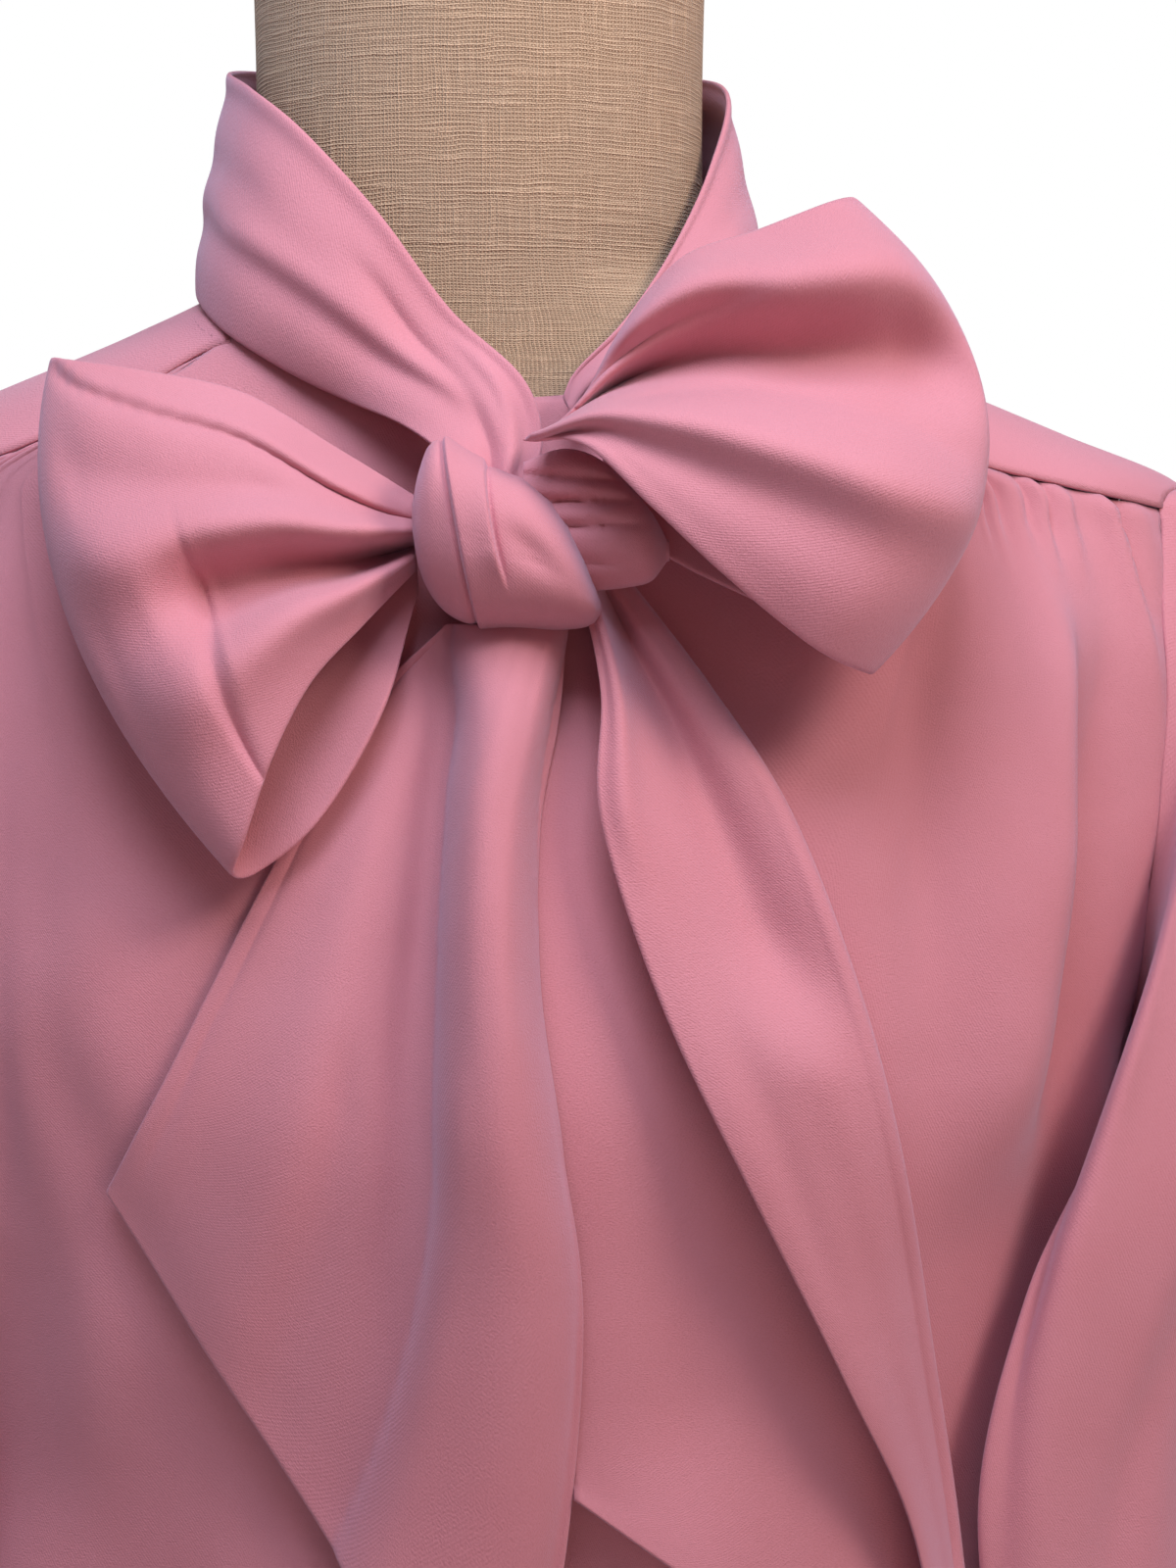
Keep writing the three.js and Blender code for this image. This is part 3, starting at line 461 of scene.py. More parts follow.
bodyFolds = [  # place round the body in degrees, width, depth, top, low end, lean
    (38, 7, 7, 768, 585, 4), (56, 6, 4, 764, 690, 3), (50, 6, -4, 740, 560, 6),
    (66, 8, 4, 640, 300, 2), (-37, 7, 6, 768, 600, -4), (-54, 6, 4, 764, 680, -3),
    (-49, 6, -4, 735, 560, -5), (-66, 8, 4, 650, 280, -2), (18, 9, 5, 560, 190, 3),
    (-14, 9, 5, 540, 190, -2), (42, 9, 6, 520, 190, 2), (-42, 9, 6, 540, 190, -3),
    (118, 9, 5, 600, 190, 0), (-116, 9, 5, 620, 190, 0), (150, 10, 6, 700, 190, 3),
    (-148, 10, 6, 690, 190, -3), (178, 10, 5, 560, 190, 0)]
softFolds = [  # the smaller creases, which the solid leaves out
    (46, 4.2, 4.5, 768, 600, 1), (54, 3.6, -4.0, 760, 600, 2), (36, 4.6, -3.5, 760, 590, 2),
    (-39, 3.0, 5.0, 768, 560, -4), (-46, 3.6, -3.0, 756, 620, -4), (-34, 2.8, -4.5, 766, 590, -4),
    (44, 2.8, 3.0, 762, 640, 4), (47.5, 2.2, -2.6, 755, 610, 5), (33, 2.6, -2.4, 758, 640, 3),
    (61, 2.6, 2.4, 750, 650, 5), (27, 5, 3.0, 720, 520, 6), (12, 6, -2.6, 700, 520, 4),
    (-31, 3, -2.2, 752, 640, -3), (-44, 2.8, 2.4, 760, 655, -4), (-60, 3, 2.4, 742, 650, -5),
    (-26, 5, 2.8, 700, 520, -5), (-34, 4, -3.0, 660, 560, 8), (72, 5, -3.0, 660, 520, 9),
    (78, 4, 2.2, 640, 480, 12), (-73, 5, -2.5, 655, 520, -10), (-79, 4, 2.2, 640, 470, -12),
    (104, 5, -2.2, 640, 420, -8), (-102, 5, -2.2, 650, 420, 9), (134, 4, 2, 730, 420, 4),
    (-131, 4, 2, 726, 430, -5), (164, 5, -2, 700, 300, 2), (-165, 5, -2, 690, 300, -2),
    (4, 7, -3, 480, 190, 2), (-28, 6, -3, 520, 190, -2), (30, 6, -3, 500, 190, 3)]


def foldPush(folds, turn, z, fade, lowest=0, closed=True):  # one that ends at the lowest edge runs over it
    degrees = np.degrees(turn)
    push = np.zeros(np.broadcast(degrees, z).shape)
    for centre, wide, deep, top, low, lean in folds:
        away = degrees - centre - lean * (top - z) / 100
        away = (away + 180) % 360 - 180 if closed else away
        ends = smooth((top - z) / fade) * (1 if low <= lowest else smooth((z - low) / fade))
        push = push + deep * bell(away / wide) * ends
    return push


def blousePoint(turn, z, out=0.0, fine=1.0):
    start, over = blouse["plainChest"]   # the chest stays as the tails need it
    near = smooth((np.abs(turn) - start) / over)
    main, small = [foldPush(f, turn, z, blouse["foldFade"], blouse["hemZ"]) for f in (bodyFolds, softFolds)]
    return ringPoint(blouseRings, turn, z, out + main + fine * small * near)


def turnAt(rings, x, z):
    side = readTable(rings, "z", z, "side")
    turn = np.arcsin(np.minimum(np.abs(x) / side, 1))
    for n in range(4):
        full = 1 + squareness * np.sin(2 * turn) ** 2
        turn = np.arcsin(np.minimum(np.abs(x) / (side * full), 1))
    return turn * np.where(np.asarray(x) < 0, -1, 1)


def chestY(x, z):
    return blousePoint(turnAt(blouseRings, x, z), z)[..., 1] - blouse["tailGap"]


def heightOfWidth(width):
    z = np.linspace(blouse["backSeamZ"], blouseRings["z"][-1], 2000)
    side = readTable(blouseRings, "z", z, "side")
    return np.interp(-width, -side, z)


gathers = [  # tucks under the yoke seam: place from the middle, width, depth, length, drift
    (98, 1.7, 1.1, 30, -3), (102, 1.3, -1.3, 24, -2), (106, 1.6, 1.2, 34, -2), (111, 1.5, -1.2, 26, -1),
    (116, 1.8, 1.1, 36, -1), (121, 1.4, -1.2, 24, 0), (127, 2.6, 1.0, 42, -2), (133.6, 1.3, -1.5, 22, -3),
    (136.8, 1.4, 1.5, 32, -3), (140.4, 1.2, -1.7, 26, -2), (144.2, 1.7, 1.2, 32, 2), (149, 2.8, -0.9, 30, 1),
    (155.6, 1.7, 2.4, 74, 12), (159.6, 1.9, -1.8, 44, 9), (165.5, 2.8, 1.0, 32, 5)]


gatherShape = dict(deepen=1.5, opensOver=7, opensFrom=0.4)


def hemAndSeam(z, below, deep):  # the ridge over the hem's turn, and the top seam that turns in
    b = blouse
    ridge = b["hemHigh"] * bell((z - b["hemZ"] - b["hemUp"]) / b["hemWide"])
    return ridge - deep * bell(below / b["seamWide"])


def gatherAt(x, below, side, table=gathers):
    g = gatherShape
    push = np.zeros(np.broadcast(x, below).shape)
    for n, (place, wide, deep, tall, drift) in enumerate(table):
        uneven = 1 if side > 0 else 0.75 + 0.5 * math.sin(n * 2.3)
        moved = place + drift * below / tall * uneven
        fade = smooth(below / g["opensOver"] + g["opensFrom"]) * (1 - smooth(below / tall))
        away = (np.abs(x) - moved) / (wide * (1 + below / tall))
        push = push + g["deepen"] * deep * uneven * bell(away) * fade
    return push


def panelEdge(z):  # the angle from the middle of a panel to its edge
    level = np.clip(z, blouse["armpitZ"], frontEdge["z"][-1])
    above = turnAt(blouseRings, readTable(armhole, "z", level, "x"), level)
    return np.where(z <= blouse["armpitZ"], math.pi / 2, above)


def panelTurn(share, z):
    full = math.pi / 2
    gap = blouse["seamGap"] / 2 / readTable(blouseRings, "z", z, "front")
    return full * share * (1 - (1 - (panelEdge(z) - gap) / full) * share ** blouse["panelDraw"])


def panelLevels(rise, lowShare, top):
    low = lerp(blouse["hemZ"], blouse["armpitZ"], rise / lowShare)
    high = lerp(blouse["armpitZ"], top, (rise - lowShare) / (1 - lowShare))
    return np.where(rise <= lowShare, low, high)


frontPanel = dict(rows=196, columns=232, lowShare=0.5, underCollar=5, collarX=66, collarWide=14,
                  edgeShare=0.02, seamDeep=1.2, flat=(0.56, 0.62), area=0.3, soft=0)
frontDents = [(-62, 26, 742, 26, 2.6), (74, 22, 690, 60, 1.6)]   # x, width, z, height, depth


def frontGrid():
    p = frontPanel
    rise, across = spread(p, -1)
    share, side = np.abs(across), np.where(across < 0, -1, 1)
    neck = blouse["neckShare"]
    topX = np.where(share < neck, blouse["neckX"] * share / neck,
                    lerp(blouse["neckX"], blouse["seamX"], (share - neck) / (1 - neck)))
    topZ = readTable(frontEdge, "x", topX, "z") - blouse["underSeam"]
    topZ = topZ + p["underCollar"] * smooth((p["collarX"] - topX) / p["collarWide"])
    z = panelLevels(rise, p["lowShare"], topZ)
    topTurn = np.abs(turnAt(blouseRings, topX, topZ))
    drawn = smooth((z - blouse["drawnFromZ"]) / (topZ - blouse["drawnFromZ"]))
    drawn = drawn * smooth((1 - share) / p["edgeShare"])
    turn = lerp(panelTurn(share, z), topTurn, drawn) * side
    below = topZ - z
    push = np.where(side > 0, gatherAt(topX, below, 1), gatherAt(topX, below, -1))
    x = topX * side + 0 * z
    for atX, wide, atZ, tall, deep in frontDents:
        push = push - deep * bell((x - atX) / wide) * bell((z - atZ) / tall)
    return blousePoint(turn, z, push + hemAndSeam(z, below, p["seamDeep"]))


backPanel = dict(rows=190, columns=220, lowShare=0.6, seamDeep=1.0, flat=(0.54, 0.57), area=0.27, soft=0)
backTucks = [(8, 2.2, 1.6, 90, 1), (13, 2.0, -1.5, 70, 1), (19, 2.4, 1.5, 85, 2), (26, 2.2, -1.3, 60, 2),
             (33, 2.6, 1.2, 70, 2), (84, 2.6, 1.0, 40, 2), (96, 2.6, -1.0, 36, 2), (110, 3, 1.0, 40, 3)]


def backGrid():
    p = backPanel
    rise, across = spread(p, -1)
    z = panelLevels(rise, p["lowShare"], blouse["backSeamZ"] - blouse["underSeam"])
    side = np.where(across < 0, -1, 1)
    turn = (math.pi - panelTurn(np.abs(across), z)) * side
    below = blouse["backSeamZ"] - z
    x = np.abs(ringPoint(blouseRings, turn, z)[..., 0])
    push = np.where(side > 0, gatherAt(x, below, 1, backTucks), gatherAt(x, below, -1, backTucks))
    return blousePoint(turn, z, push + hemAndSeam(z, below, p["seamDeep"]))


def evenly(path, count):  # the same path with points at even steps
    steps = np.linalg.norm(np.diff(path, axis=0), axis=-1)
    reach = np.concatenate([[0], np.cumsum(steps)])
    want = np.linspace(0, reach[-1], count)
    return np.stack([np.interp(want, reach, path[:, n]) for n in range(3)], axis=-1)


yokePiece = dict(columns=241, rows=60, seamShare=0.5, bowOut=9.5, bowReach=1.15, outerShare=0.25,
                 points=240, flat=(0.42, 0.2), area=0.05, soft=0)


def yokeColumn(place, count):
    b = blouse
    side, share = (-1 if place < 0 else 1), 1 - abs(place)
    seamShare = yokePiece["seamShare"]
    if share <= seamShare:
        x = lerp(b["seamX"], b["neckX"], share / seamShare)
        startZ = readTable(frontEdge, "x", x, "z") + 0.2
        startTurn = turnAt(blouseRings, x, startZ)
    else:
        degrees = lerp(yokeNeck["turn"][0], 179.5, (share - seamShare) / (1 - seamShare))
        startZ, startTurn = readTable(yokeNeck, "turn", degrees, "z"), math.radians(degrees)
    x0 = ringPoint(blouseRings, startTurn, startZ)[..., 0]
    endX = max(float(lerp(readTable(armhole, "z", b["backSeamZ"], "x"), 0, share)), 0.5)
    endTurn = math.pi - turnAt(blouseRings, endX, b["backSeamZ"])
    outer = 1 - min(share / yokePiece["outerShare"], 1)
    p = np.linspace(0, 1, yokePiece["points"])
    turn = lerp(startTurn, endTurn, p)
    bow = yokePiece["bowOut"] * np.sin(math.pi * np.minimum(p * yokePiece["bowReach"], 1)) * outer
    full = 1 + squareness * np.sin(2 * turn) ** 2
    z = np.minimum(heightOfWidth((lerp(x0, endX, p) + bow) / (np.sin(turn) * full)), b["footZ"])
    z[0], z[-1] = startZ, b["backSeamZ"]
    return evenly(blousePoint(turn * side, z, fine=0.0), count)


def yokeGrid():
    places = np.linspace(-1, 1, yokePiece["columns"])
    return np.stack([yokeColumn(p, yokePiece["rows"]) for p in places], axis=0)


sewnPiece("front", frontGrid(), frontPanel, "blouse_front")
sewnPiece("back", backGrid(), backPanel, "blouse_back")
sewnPiece("shoulder_yoke", yokeGrid(), yokePiece, "yoke")
print("body cut and seamed")


# Sleeves

sleeveRings = rows(  # sections of the empty hanging sleeve, from the head down to the cuff
    "down x y long outer inner turn tilt",
    (-640, 183, -27, 60, 18, 11, 57, 42), (-590, 172, -40, 63, 23, 8.5, 52, 18),
    (-530, 162, -44, 66, 22, 7.5, 52, 6), (-460, 169, -44, 60, 18, 12, 52, 0),
    (-380, 180, -38, 56, 19, 14, 56, 0), (-300, 189, -31, 54, 20, 16, 60, 0),
    (-240, 195, -26, 52, 22, 19, 62, 0), (-214, 197, -25, 44, 21, 20, 62, 0))
sleeveFolds = [  # place round the sleeve, width, depth, top, low end, lean
    (60, 16, 4, 690, 420, 0), (120, 14, -3, 660, 380, 0), (20, 15, 4, 560, 230, 0), (250, 16, 4, 640, 240, 0)]
sleeveCreases = [
    (90, 9, 2.2, 700, 520, 18), (150, 10, -2.4, 690, 500, -22), (40, 8, -2.0, 640, 470, 26),
    (200, 12, 2.0, 660, 460, 20), (300, 12, -2.0, 650, 440, -24), (330, 9, 1.8, 520, 330, 30),
    (75, 9, -1.8, 480, 330, -34), (110, 8, 1.6, 440, 300, 38), (170, 10, 1.6, 420, 260, -30),
    (230, 10, -1.6, 400, 250, 26), (0, 6, 1.2, 300, 212, 4), (35, 5, -1.2, 290, 212, -3),
    (70, 5, 1.3, 300, 212, 3), (100, 5, -1.2, 280, 212, 2), (135, 6, 1.2, 300, 212, -4),
    (170, 5, -1.2, 285, 212, 3), (205, 6, 1.3, 300, 212, 3), (240, 5, -1.2, 285, 212, -2),
    (275, 6, 1.2, 300, 212, 2), (310, 5, -1.2, 290, 212, -3)]
sleevePiece = dict(columns=200, capRows=46, downRows=170, out=0.3, step=0.1, headOut=8, headDown=6,
                   reach=18, headZ=640, soften=(40, 60), softenTimes=14, foldFade=60, flat=(0.29, 0.58),
                   area=0.145, soft=0)


def armholeLoop(side):  # from the shoulder point to the front, the armpit and up the back
    def edge(grid, lowShare):
        rowsUp = grid[int(lowShare * (len(grid) - 1)):]
        return rowsUp[:, -1 if side > 0 else 0]

    frontUp = edge(frontGrid(), frontPanel["lowShare"])[::-1]
    backUp = edge(backGrid(), backPanel["lowShare"])[1:]
    over = yokeColumn(side, yokePiece["rows"])[1:-1][::-1]
    loop = np.concatenate([frontUp, backUp, over])
    loop = np.roll(loop, -int(np.argmax(loop[:, 2])), axis=0)
    return evenly(np.concatenate([loop, loop[:1]]), sleevePiece["columns"] + 1)[:-1]


def turnedRing(x, y, z, turn, a, b):  # a along and b across a flat ring, turned about its middle
    return joinXyz(x + np.cos(turn) * a + np.sin(turn) * b, y + np.sin(turn) * a - np.cos(turn) * b, z)


def sleeveRing(around, level):
    def read(column):
        return readTable(sleeveRings, "down", -level, column)

    turn = np.radians(read("turn"))
    z = level + read("tilt") * np.cos(around)
    push = foldPush(sleeveFolds, around, z, sleevePiece["foldFade"], closed=False)
    push = push + foldPush(sleeveCreases, around, z, sleevePiece["foldFade"])
    a = (read("long") + push) * np.cos(around + turn)
    away = np.sin(around + turn)
    b = (lerp(read("inner"), read("outer"), smooth(away + 0.5)) + push) * away
    return turnedRing(read("x"), read("y"), z, turn, a, b)


def sleeveGrid(side):
    p = sleevePiece
    loop = armholeLoop(side)
    around = np.linspace(0, math.tau, len(loop), endpoint=False)
    flip = np.array([side, 1, 1])
    begin = loop * flip + joinXyz(p["out"], -p["step"] * np.sin(around), 0 * around)
    rise = (1 + np.cos(around)) / 2
    bend = begin + joinXyz(p["headOut"] + p["reach"] * rise, 0 * rise, -p["headDown"] + 0 * rise)
    end = sleeveRing(around, np.full_like(around, p["headZ"], dtype=float))
    t = np.linspace(0, 1, p["capRows"], endpoint=False)[:, None, None]
    cap = begin * (1 - t) ** 2 + bend * 2 * t * (1 - t) + end * t**2
    level = np.linspace(p["headZ"], -sleeveRings["down"][-1], p["downRows"])[:, None]
    down = sleeveRing(around[None, :] + 0 * level, level + 0 * around[None, :])
    grid = np.concatenate([cap, down])
    low, top = p["soften"]   # takes the break out where the head meets the straight part
    for n in range(p["softenTimes"]):
        grid[low:top] = (grid[low - 1:top - 1] + grid[low:top] * 2 + grid[low + 1:top + 1]) / 4
    return grid * flip


cuffPiece = dict(x=197, y=-25, low=172, top=213.2, long=44, short=20.5, turn=62, columns=110,
                 rows=34, full=0.5, uneven=0.25, flat=(0.215, 0.041), thick=1.8)


def cuffGrid(side):
    c = cuffPiece
    turn = math.radians(c["turn"])
    t = np.linspace(0, math.tau, c["columns"], endpoint=False)[None, :]
    down = np.linspace(0, 1, c["rows"])[:, None]
    swell = c["full"] * np.sin(math.pi * down) + c["uneven"] * wander(5, t / math.tau + down * 0.2, 0.5)
    a, b = (c["long"] + swell) * np.cos(t + turn), (c["short"] + swell) * np.sin(t + turn)
    return turnedRing(c["x"], c["y"], lerp(c["top"], c["low"], down), turn, a, b) * (side, 1, 1)


for word, side in (("right", 1), ("left", -1)):
    sewnPiece(f"{word}_sleeve", sleeveGrid(side), sleevePiece, f"sleeve_{word}",
              around=True)
    sewnPiece(f"{word}_cuff", cuffGrid(side), cuffPiece, f"cuff_{word}",
              around=True)
print("sleeves set in, cuffs on")


# Collar band

collarLine = rows(  # from the right end at the knot, round the back of the neck, to the left end
    "lowX lowY lowZ topX topY topZ out",
    (24, -70, 782, 22, -68, 791, 1), (30, -61, 790, 25, -60, 798, 2), (45, -55.5, 797.4, 36, -49, 811, 3),
    (61, -46, 807.6, 47, -37, 829, 3), (70, -26, 817.4, 56.5, -21, 851, 4), (69, 2, 821.5, 61.5, 2, 874, 4),
    (51, 39.5, 827.5, 48, 38, 883, 4), (27.5, 55.5, 830, 26, 53.5, 886, 4), (0, 61.5, 830.8, 0, 60, 887, 4),
    (-27.5, 55.5, 830, -26, 53.5, 886, 4), (-51, 39.5, 827.5, -48, 38, 884, 4),
    (-69, 2, 821.5, -62, 2, 879, 4), (-70, -26, 817.4, -55, -24, 871, 4),
    (-61, -46, 807.6, -41, -42, 858, 5), (-45, -56, 797.4, -22, -54, 836, 6),
    (-30, -63, 790, -5, -61, 812, 5), (-17, -74, 784, 12, -72, 795, 4), (-7, -86, 777, 17, -80, 780, 2),
    (0, -92, 770, 14, -90, 768, 0))
collarPiece = dict(rows=230, columns=42, roll=2.2, rollWide=0.07, endShare=0.1, fullness=0.8, thick=1.3,
                   flat=(0.058, 0.36))
collarFolds = [  # start along and across, end along and across, width at each end, depth, bow
    (0.62, 0.3, 0.93, 0.42, 0.1, 0.16, -1.6, 0.05),
    (0.7, 0.42, 1.00, 0.62, 0.07, 0.13, 1.9, 0.04),
    (0.8, 0.72, 1.00, 0.4, 0.06, 0.1, -2.2, 0.0),
    (0.86, 0.86, 1.02, 0.55, 0.05, 0.09, 1.6, 0.0),
    (0.5, 0.55, 0.72, 0.62, 0.12, 0.1, -1.3, 0.0),
    (0.2, 0.6, 0.45, 0.45, 0.14, 0.12, -1.2, 0.03),
    (0.0, 0.6, 0.22, 0.55, 0.14, 0.1, 1.3, 0.0),
    (0.0, 0.3, 0.15, 0.35, 0.12, 0.08, -1.2, 0.0),
    (0.33, 0.3, 0.58, 0.26, 0.09, 0.09, 1.0, -0.03)]


def collarGrid():
    p = collarPiece
    along, rise = spread(p)

    def read(column):
        return readSteps(collarLine, along, column)

    low, top = place3(read, "low"), place3(read, "top")
    grid = low + (top - low) * rise[..., None]
    away = unit(grid * (1, 1, 0))
    middle = smooth(along / p["endShare"]) * smooth((1 - along) / p["endShare"])
    bulge = read("out") * np.sin(math.pi * rise) ** p["fullness"]
    bulge = bulge + p["roll"] * bell((rise - 1) / p["rollWide"]) * middle
    grid = grid + away * bulge[..., None]
    return pressFolds(grid, collarFolds, away, seed=11)


sewnPiece("collar_band", collarGrid(), collarPiece, "collar")
print("collar on")


# Bow loops

leftLoop = rows(  # from the front of the knot round the turn and back: top end, low end, bow
    "topX topY topZ lowX lowY lowZ outX outY",
    (-12.6, -88, 766, -12.6, -91, 749, 0, -3), (-32, -85, 778, -24, -106, 736, 0, -9),
    (-54, -80, 791, -35, -118, 723, 0, -13), (-78, -77, 796.5, -43, -126, 706, -4, -14),
    (-94, -73, 799, -49, -128, 688, -12, -11), (-100.5, -68, 800, -52, -123, 680, -17, -3),
    (-95, -63, 796, -47, -117, 680, -14, 3), (-75, -60, 788, -33, -114, 692, -5, 3),
    (-43, -66, 777, -19, -105, 717, 0, 2), (-12.6, -79, 766, -12.2, -86, 744, 0, 0))
rightLoop = rows(
    "topX topY topZ lowX lowY lowZ outX outY",
    (26, -88, 785, 13, -106, 778.5, 0, -1), (36, -86, 805, 27, -114, 777, 2, -4),
    (50, -84, 822, 42, -120, 763, 5, -10), (68, -82, 829, 59, -122, 747, 10, -15),
    (85, -78, 836, 79, -120, 731, 18, -16), (91, -70, 838, 92, -111, 725, 29, -4),
    (88, -62, 837, 88, -103, 728, 25, 4), (69, -60, 829, 70, -96, 740, 12, 4),
    (49, -66, 812, 50, -92, 750, 3, 1), (31.5, -76, 778, 31.5, -88, 762, 0, 0))
leftLoopFolds = [  # start along and across, end along and across, width at each end, depth, bow
    (0.04, 0.33, 0.5, 0.03, 0.03, 0.012, 2.6, -0.02, 1.2),   # the double crease to the corner
    (0.06, 0.27, 0.5, 0.0, 0.022, 0.01, -1.6, -0.02, 1.2),
    (0.03, 0.22, 0.44, 0.1, 0.1, 0.1, -2.4, 0.0),           # the full part above it
    (0.0, 0.47, 0.46, 0.43, 0.08, 0.09, -6.0, 0.02),          # the long ridge
    (0.02, 0.66, 0.34, 0.58, 0.075, 0.11, 13.0, 0.0),          # the deep hollow under it
    (0.02, 0.745, 0.33, 0.665, 0.03, 0.055, 4.5, 0.0, 1.3),   # the sharp foot of the hollow
    (0.03, 0.82, 0.42, 0.76, 0.075, 0.1, -5.0, 0.0),          # the full lower lobe
    (0.325, 0.6, 0.365, 0.92, 0.15, 0.12, 2.6, 0.0),          # the lobe's far border
    (0.2, 0.36, 0.46, 0.25, 0.05, 0.08, 2.0, 0.02),
    (0.3, 0.55, 0.48, 0.62, 0.06, 0.1, 1.6, 0.02)]
rightLoopFolds = [
    (0.1, 0.08, 0.54, 0.17, 0.09, 0.1, -9.0, 0.03),          # the pale shoulder along the top
    (0.03, 0.52, 0.5, 0.38, 0.1, 0.14, 21.0, -0.05),         # the deep valley
    (0.0, 0.86, 0.56, 0.7, 0.085, 0.075, -8.0, -0.11),      # the ridge below it
    (0.16, 0.62, 0.5, 0.56, 0.03, 0.045, 2.6, -0.1, 1.3),   # the crease at the ridge's foot
    (0.03, 0.26, 0.3, 0.2, 0.035, 0.06, 3.0, 0.02, 1.4),
    (0.12, 0.95, 0.5, 0.9, 0.12, 0.14, -4.0, 0.0),           # the full lower lobe
    (0.06, 0.98, 0.36, 1.0, 0.03, 0.04, -1.2, 0.0)]
loopPiece = dict(rows=190, columns=62, thick=1.3, flat=(0.085, 0.23))


def loopGrid(table, folds, seed):
    along, across = spread(loopPiece)

    def read(column):
        return readSteps(table, along, column)

    top, low = place3(read, "top"), place3(read, "low")
    bow = 4 * across * (1 - across)
    grid = top + (low - top) * across[..., None]
    grid = grid + joinXyz(read("outX") * bow, read("outY") * bow, 0 * bow)
    return pressFolds(grid, folds, backwards, seed)


loops = ("left", leftLoop, leftLoopFolds, 21), ("right", rightLoop, rightLoopFolds, 31)
for word, table, folds, seed in loops:
    sewnPiece(f"{word}_loop", loopGrid(table, folds, seed), loopPiece, f"bow_loop_{word}")
print("loops tied")


# Knot

knotPiece = dict(y=-97, halfY=20, slices=190, columns=230, endTurn=0.03, evenness=0.6, roundness=0.86,
                 foot=736, tall=40, stepOver=0.9, stepFade=5, grooveDeep=1.5, grooveAt=0.4,
                 grooveWide=0.6, frontFrom=-0.55, frontOver=0.8, fadeOver=10, uneven=0.2)
knotDent = dict(x=15, z=753, lean=0.7, wide=6, tall=4, deep=1.6)
knotShape = rows(  # the wrap, slice by slice from left to right: top, underside, how far it stands out
    "x top low full",
    (-12.6, 765, 757, 0.3), (-11.4, 771, 750, 0.62), (-9, 777.5, 744, 0.8), (-5.5, 779, 739.5, 0.9),
    (-1, 776.5, 736.8, 0.96), (4, 773.5, 735.8, 1.02), (9, 771.5, 735.2, 1.04), (14, 769.5, 735, 1.04),
    (19, 765.5, 734.8, 1.0), (23, 760.5, 735, 0.93), (26.5, 753.5, 735.4, 0.82), (29.5, 745.5, 736.5, 0.62),
    (31, 741.5, 738.5, 0.34))
wrapEdges = [  # where one turn of the band lies over the next: place at the top, middle and underside,
    # how far it stands over the turn beside it, which side is the upper one, and where it fades out
    (-5.0, -1.8, 2.6, 2.6, 1, 700), (4.2, 5.0, 12.5, 2.8, -1, 743)]


def knotGrid():
    k, d = knotPiece, knotDent
    share = (1 - np.cos(np.linspace(k["endTurn"], math.pi - k["endTurn"], k["slices"])))[:, None] / 2
    share = lerp(share, np.linspace(0, 1, k["slices"])[:, None], k["evenness"])
    x = lerp(knotShape["x"][0], knotShape["x"][-1], share)
    around = np.linspace(0, math.tau, k["columns"], endpoint=False)[None, :]
    top, low, full = [readTable(knotShape, "x", x, column) for column in ("top", "low", "full")]
    tall = np.sin(around)
    z = (top + low) / 2 + (top - low) / 2 * np.sign(tall) * np.abs(tall) ** k["roundness"]
    facing = smooth((np.cos(around) - k["frontFrom"]) / k["frontOver"])
    rise = (z - k["foot"]) / k["tall"]
    swell = k["uneven"] * wander(9, x * 0.02 + around / 9, 1.0)
    for high, middle, foot, step, upper, fade in wrapEdges:
        line = foot * (1 - rise) ** 2 + middle * 2 * rise * (1 - rise) + high * rise**2
        away = (x - line) * upper
        seen = facing * smooth((z - fade) / k["fadeOver"])
        over = step * np.exp(-np.clip(away, 0, None) / k["stepFade"]) * smooth(away / k["stepOver"] + 0.5)
        groove = k["grooveDeep"] * np.exp(-np.abs(away + k["grooveAt"]) / k["grooveWide"])
        swell = swell + seen * (over - groove)
    slope = z - d["z"] + (x - d["x"]) * d["lean"]
    dent = -d["deep"] * bell((x - d["x"]) / d["wide"]) * bell(slope / d["tall"]) * facing
    y = k["halfY"] * full * np.cos(around) + (swell + dent) * np.cos(around)
    return joinXyz(x, k["y"] - y, z + swell * 0.5 * tall)


tuckPiece = dict(x=(13, 47), slices=60, columns=90, creaseReach=30, fadeX=44, fadeOver=14)
tuckShape = rows(  # the cloth gathered behind the knot on its right: slices from the knot outwards
    "x top low y deep", (13, 774, 742, -96, 9), (22, 777, 743, -97, 10), (30, 775, 744, -97.5, 10),
    (38, 768, 745, -97, 9), (43, 762, 746.5, -96, 7), (46.5, 756, 751, -94, 2))
tuckCreases = [(771, 769, 1.1, 3.4), (764.5, 765, 1.3, 4.2), (758.5, 759.5, 1.0, 2.6), (751, 750, 1.0, 1.4)]


def tuckGrid():
    t = tuckPiece
    x = np.linspace(*t["x"], t["slices"])[:, None]
    around = np.linspace(0, math.tau, t["columns"], endpoint=False)[None, :]
    top, low, y, deep = [readTable(tuckShape, "x", x, column) for column in ("top", "low", "y", "deep")]
    z = (top + low) / 2 + (top - low) / 2 * np.sin(around)
    swell = np.zeros_like(z)
    for nearZ, farZ, wide, cut in tuckCreases:
        line = lerp(nearZ, farZ, (x - t["x"][0]) / t["creaseReach"])
        swell = swell - cut * np.exp(-np.abs(z - line) / wide) * smooth((t["fadeX"] - x) / t["fadeOver"])
    return joinXyz(x, y - (deep + swell) * np.cos(around), z)


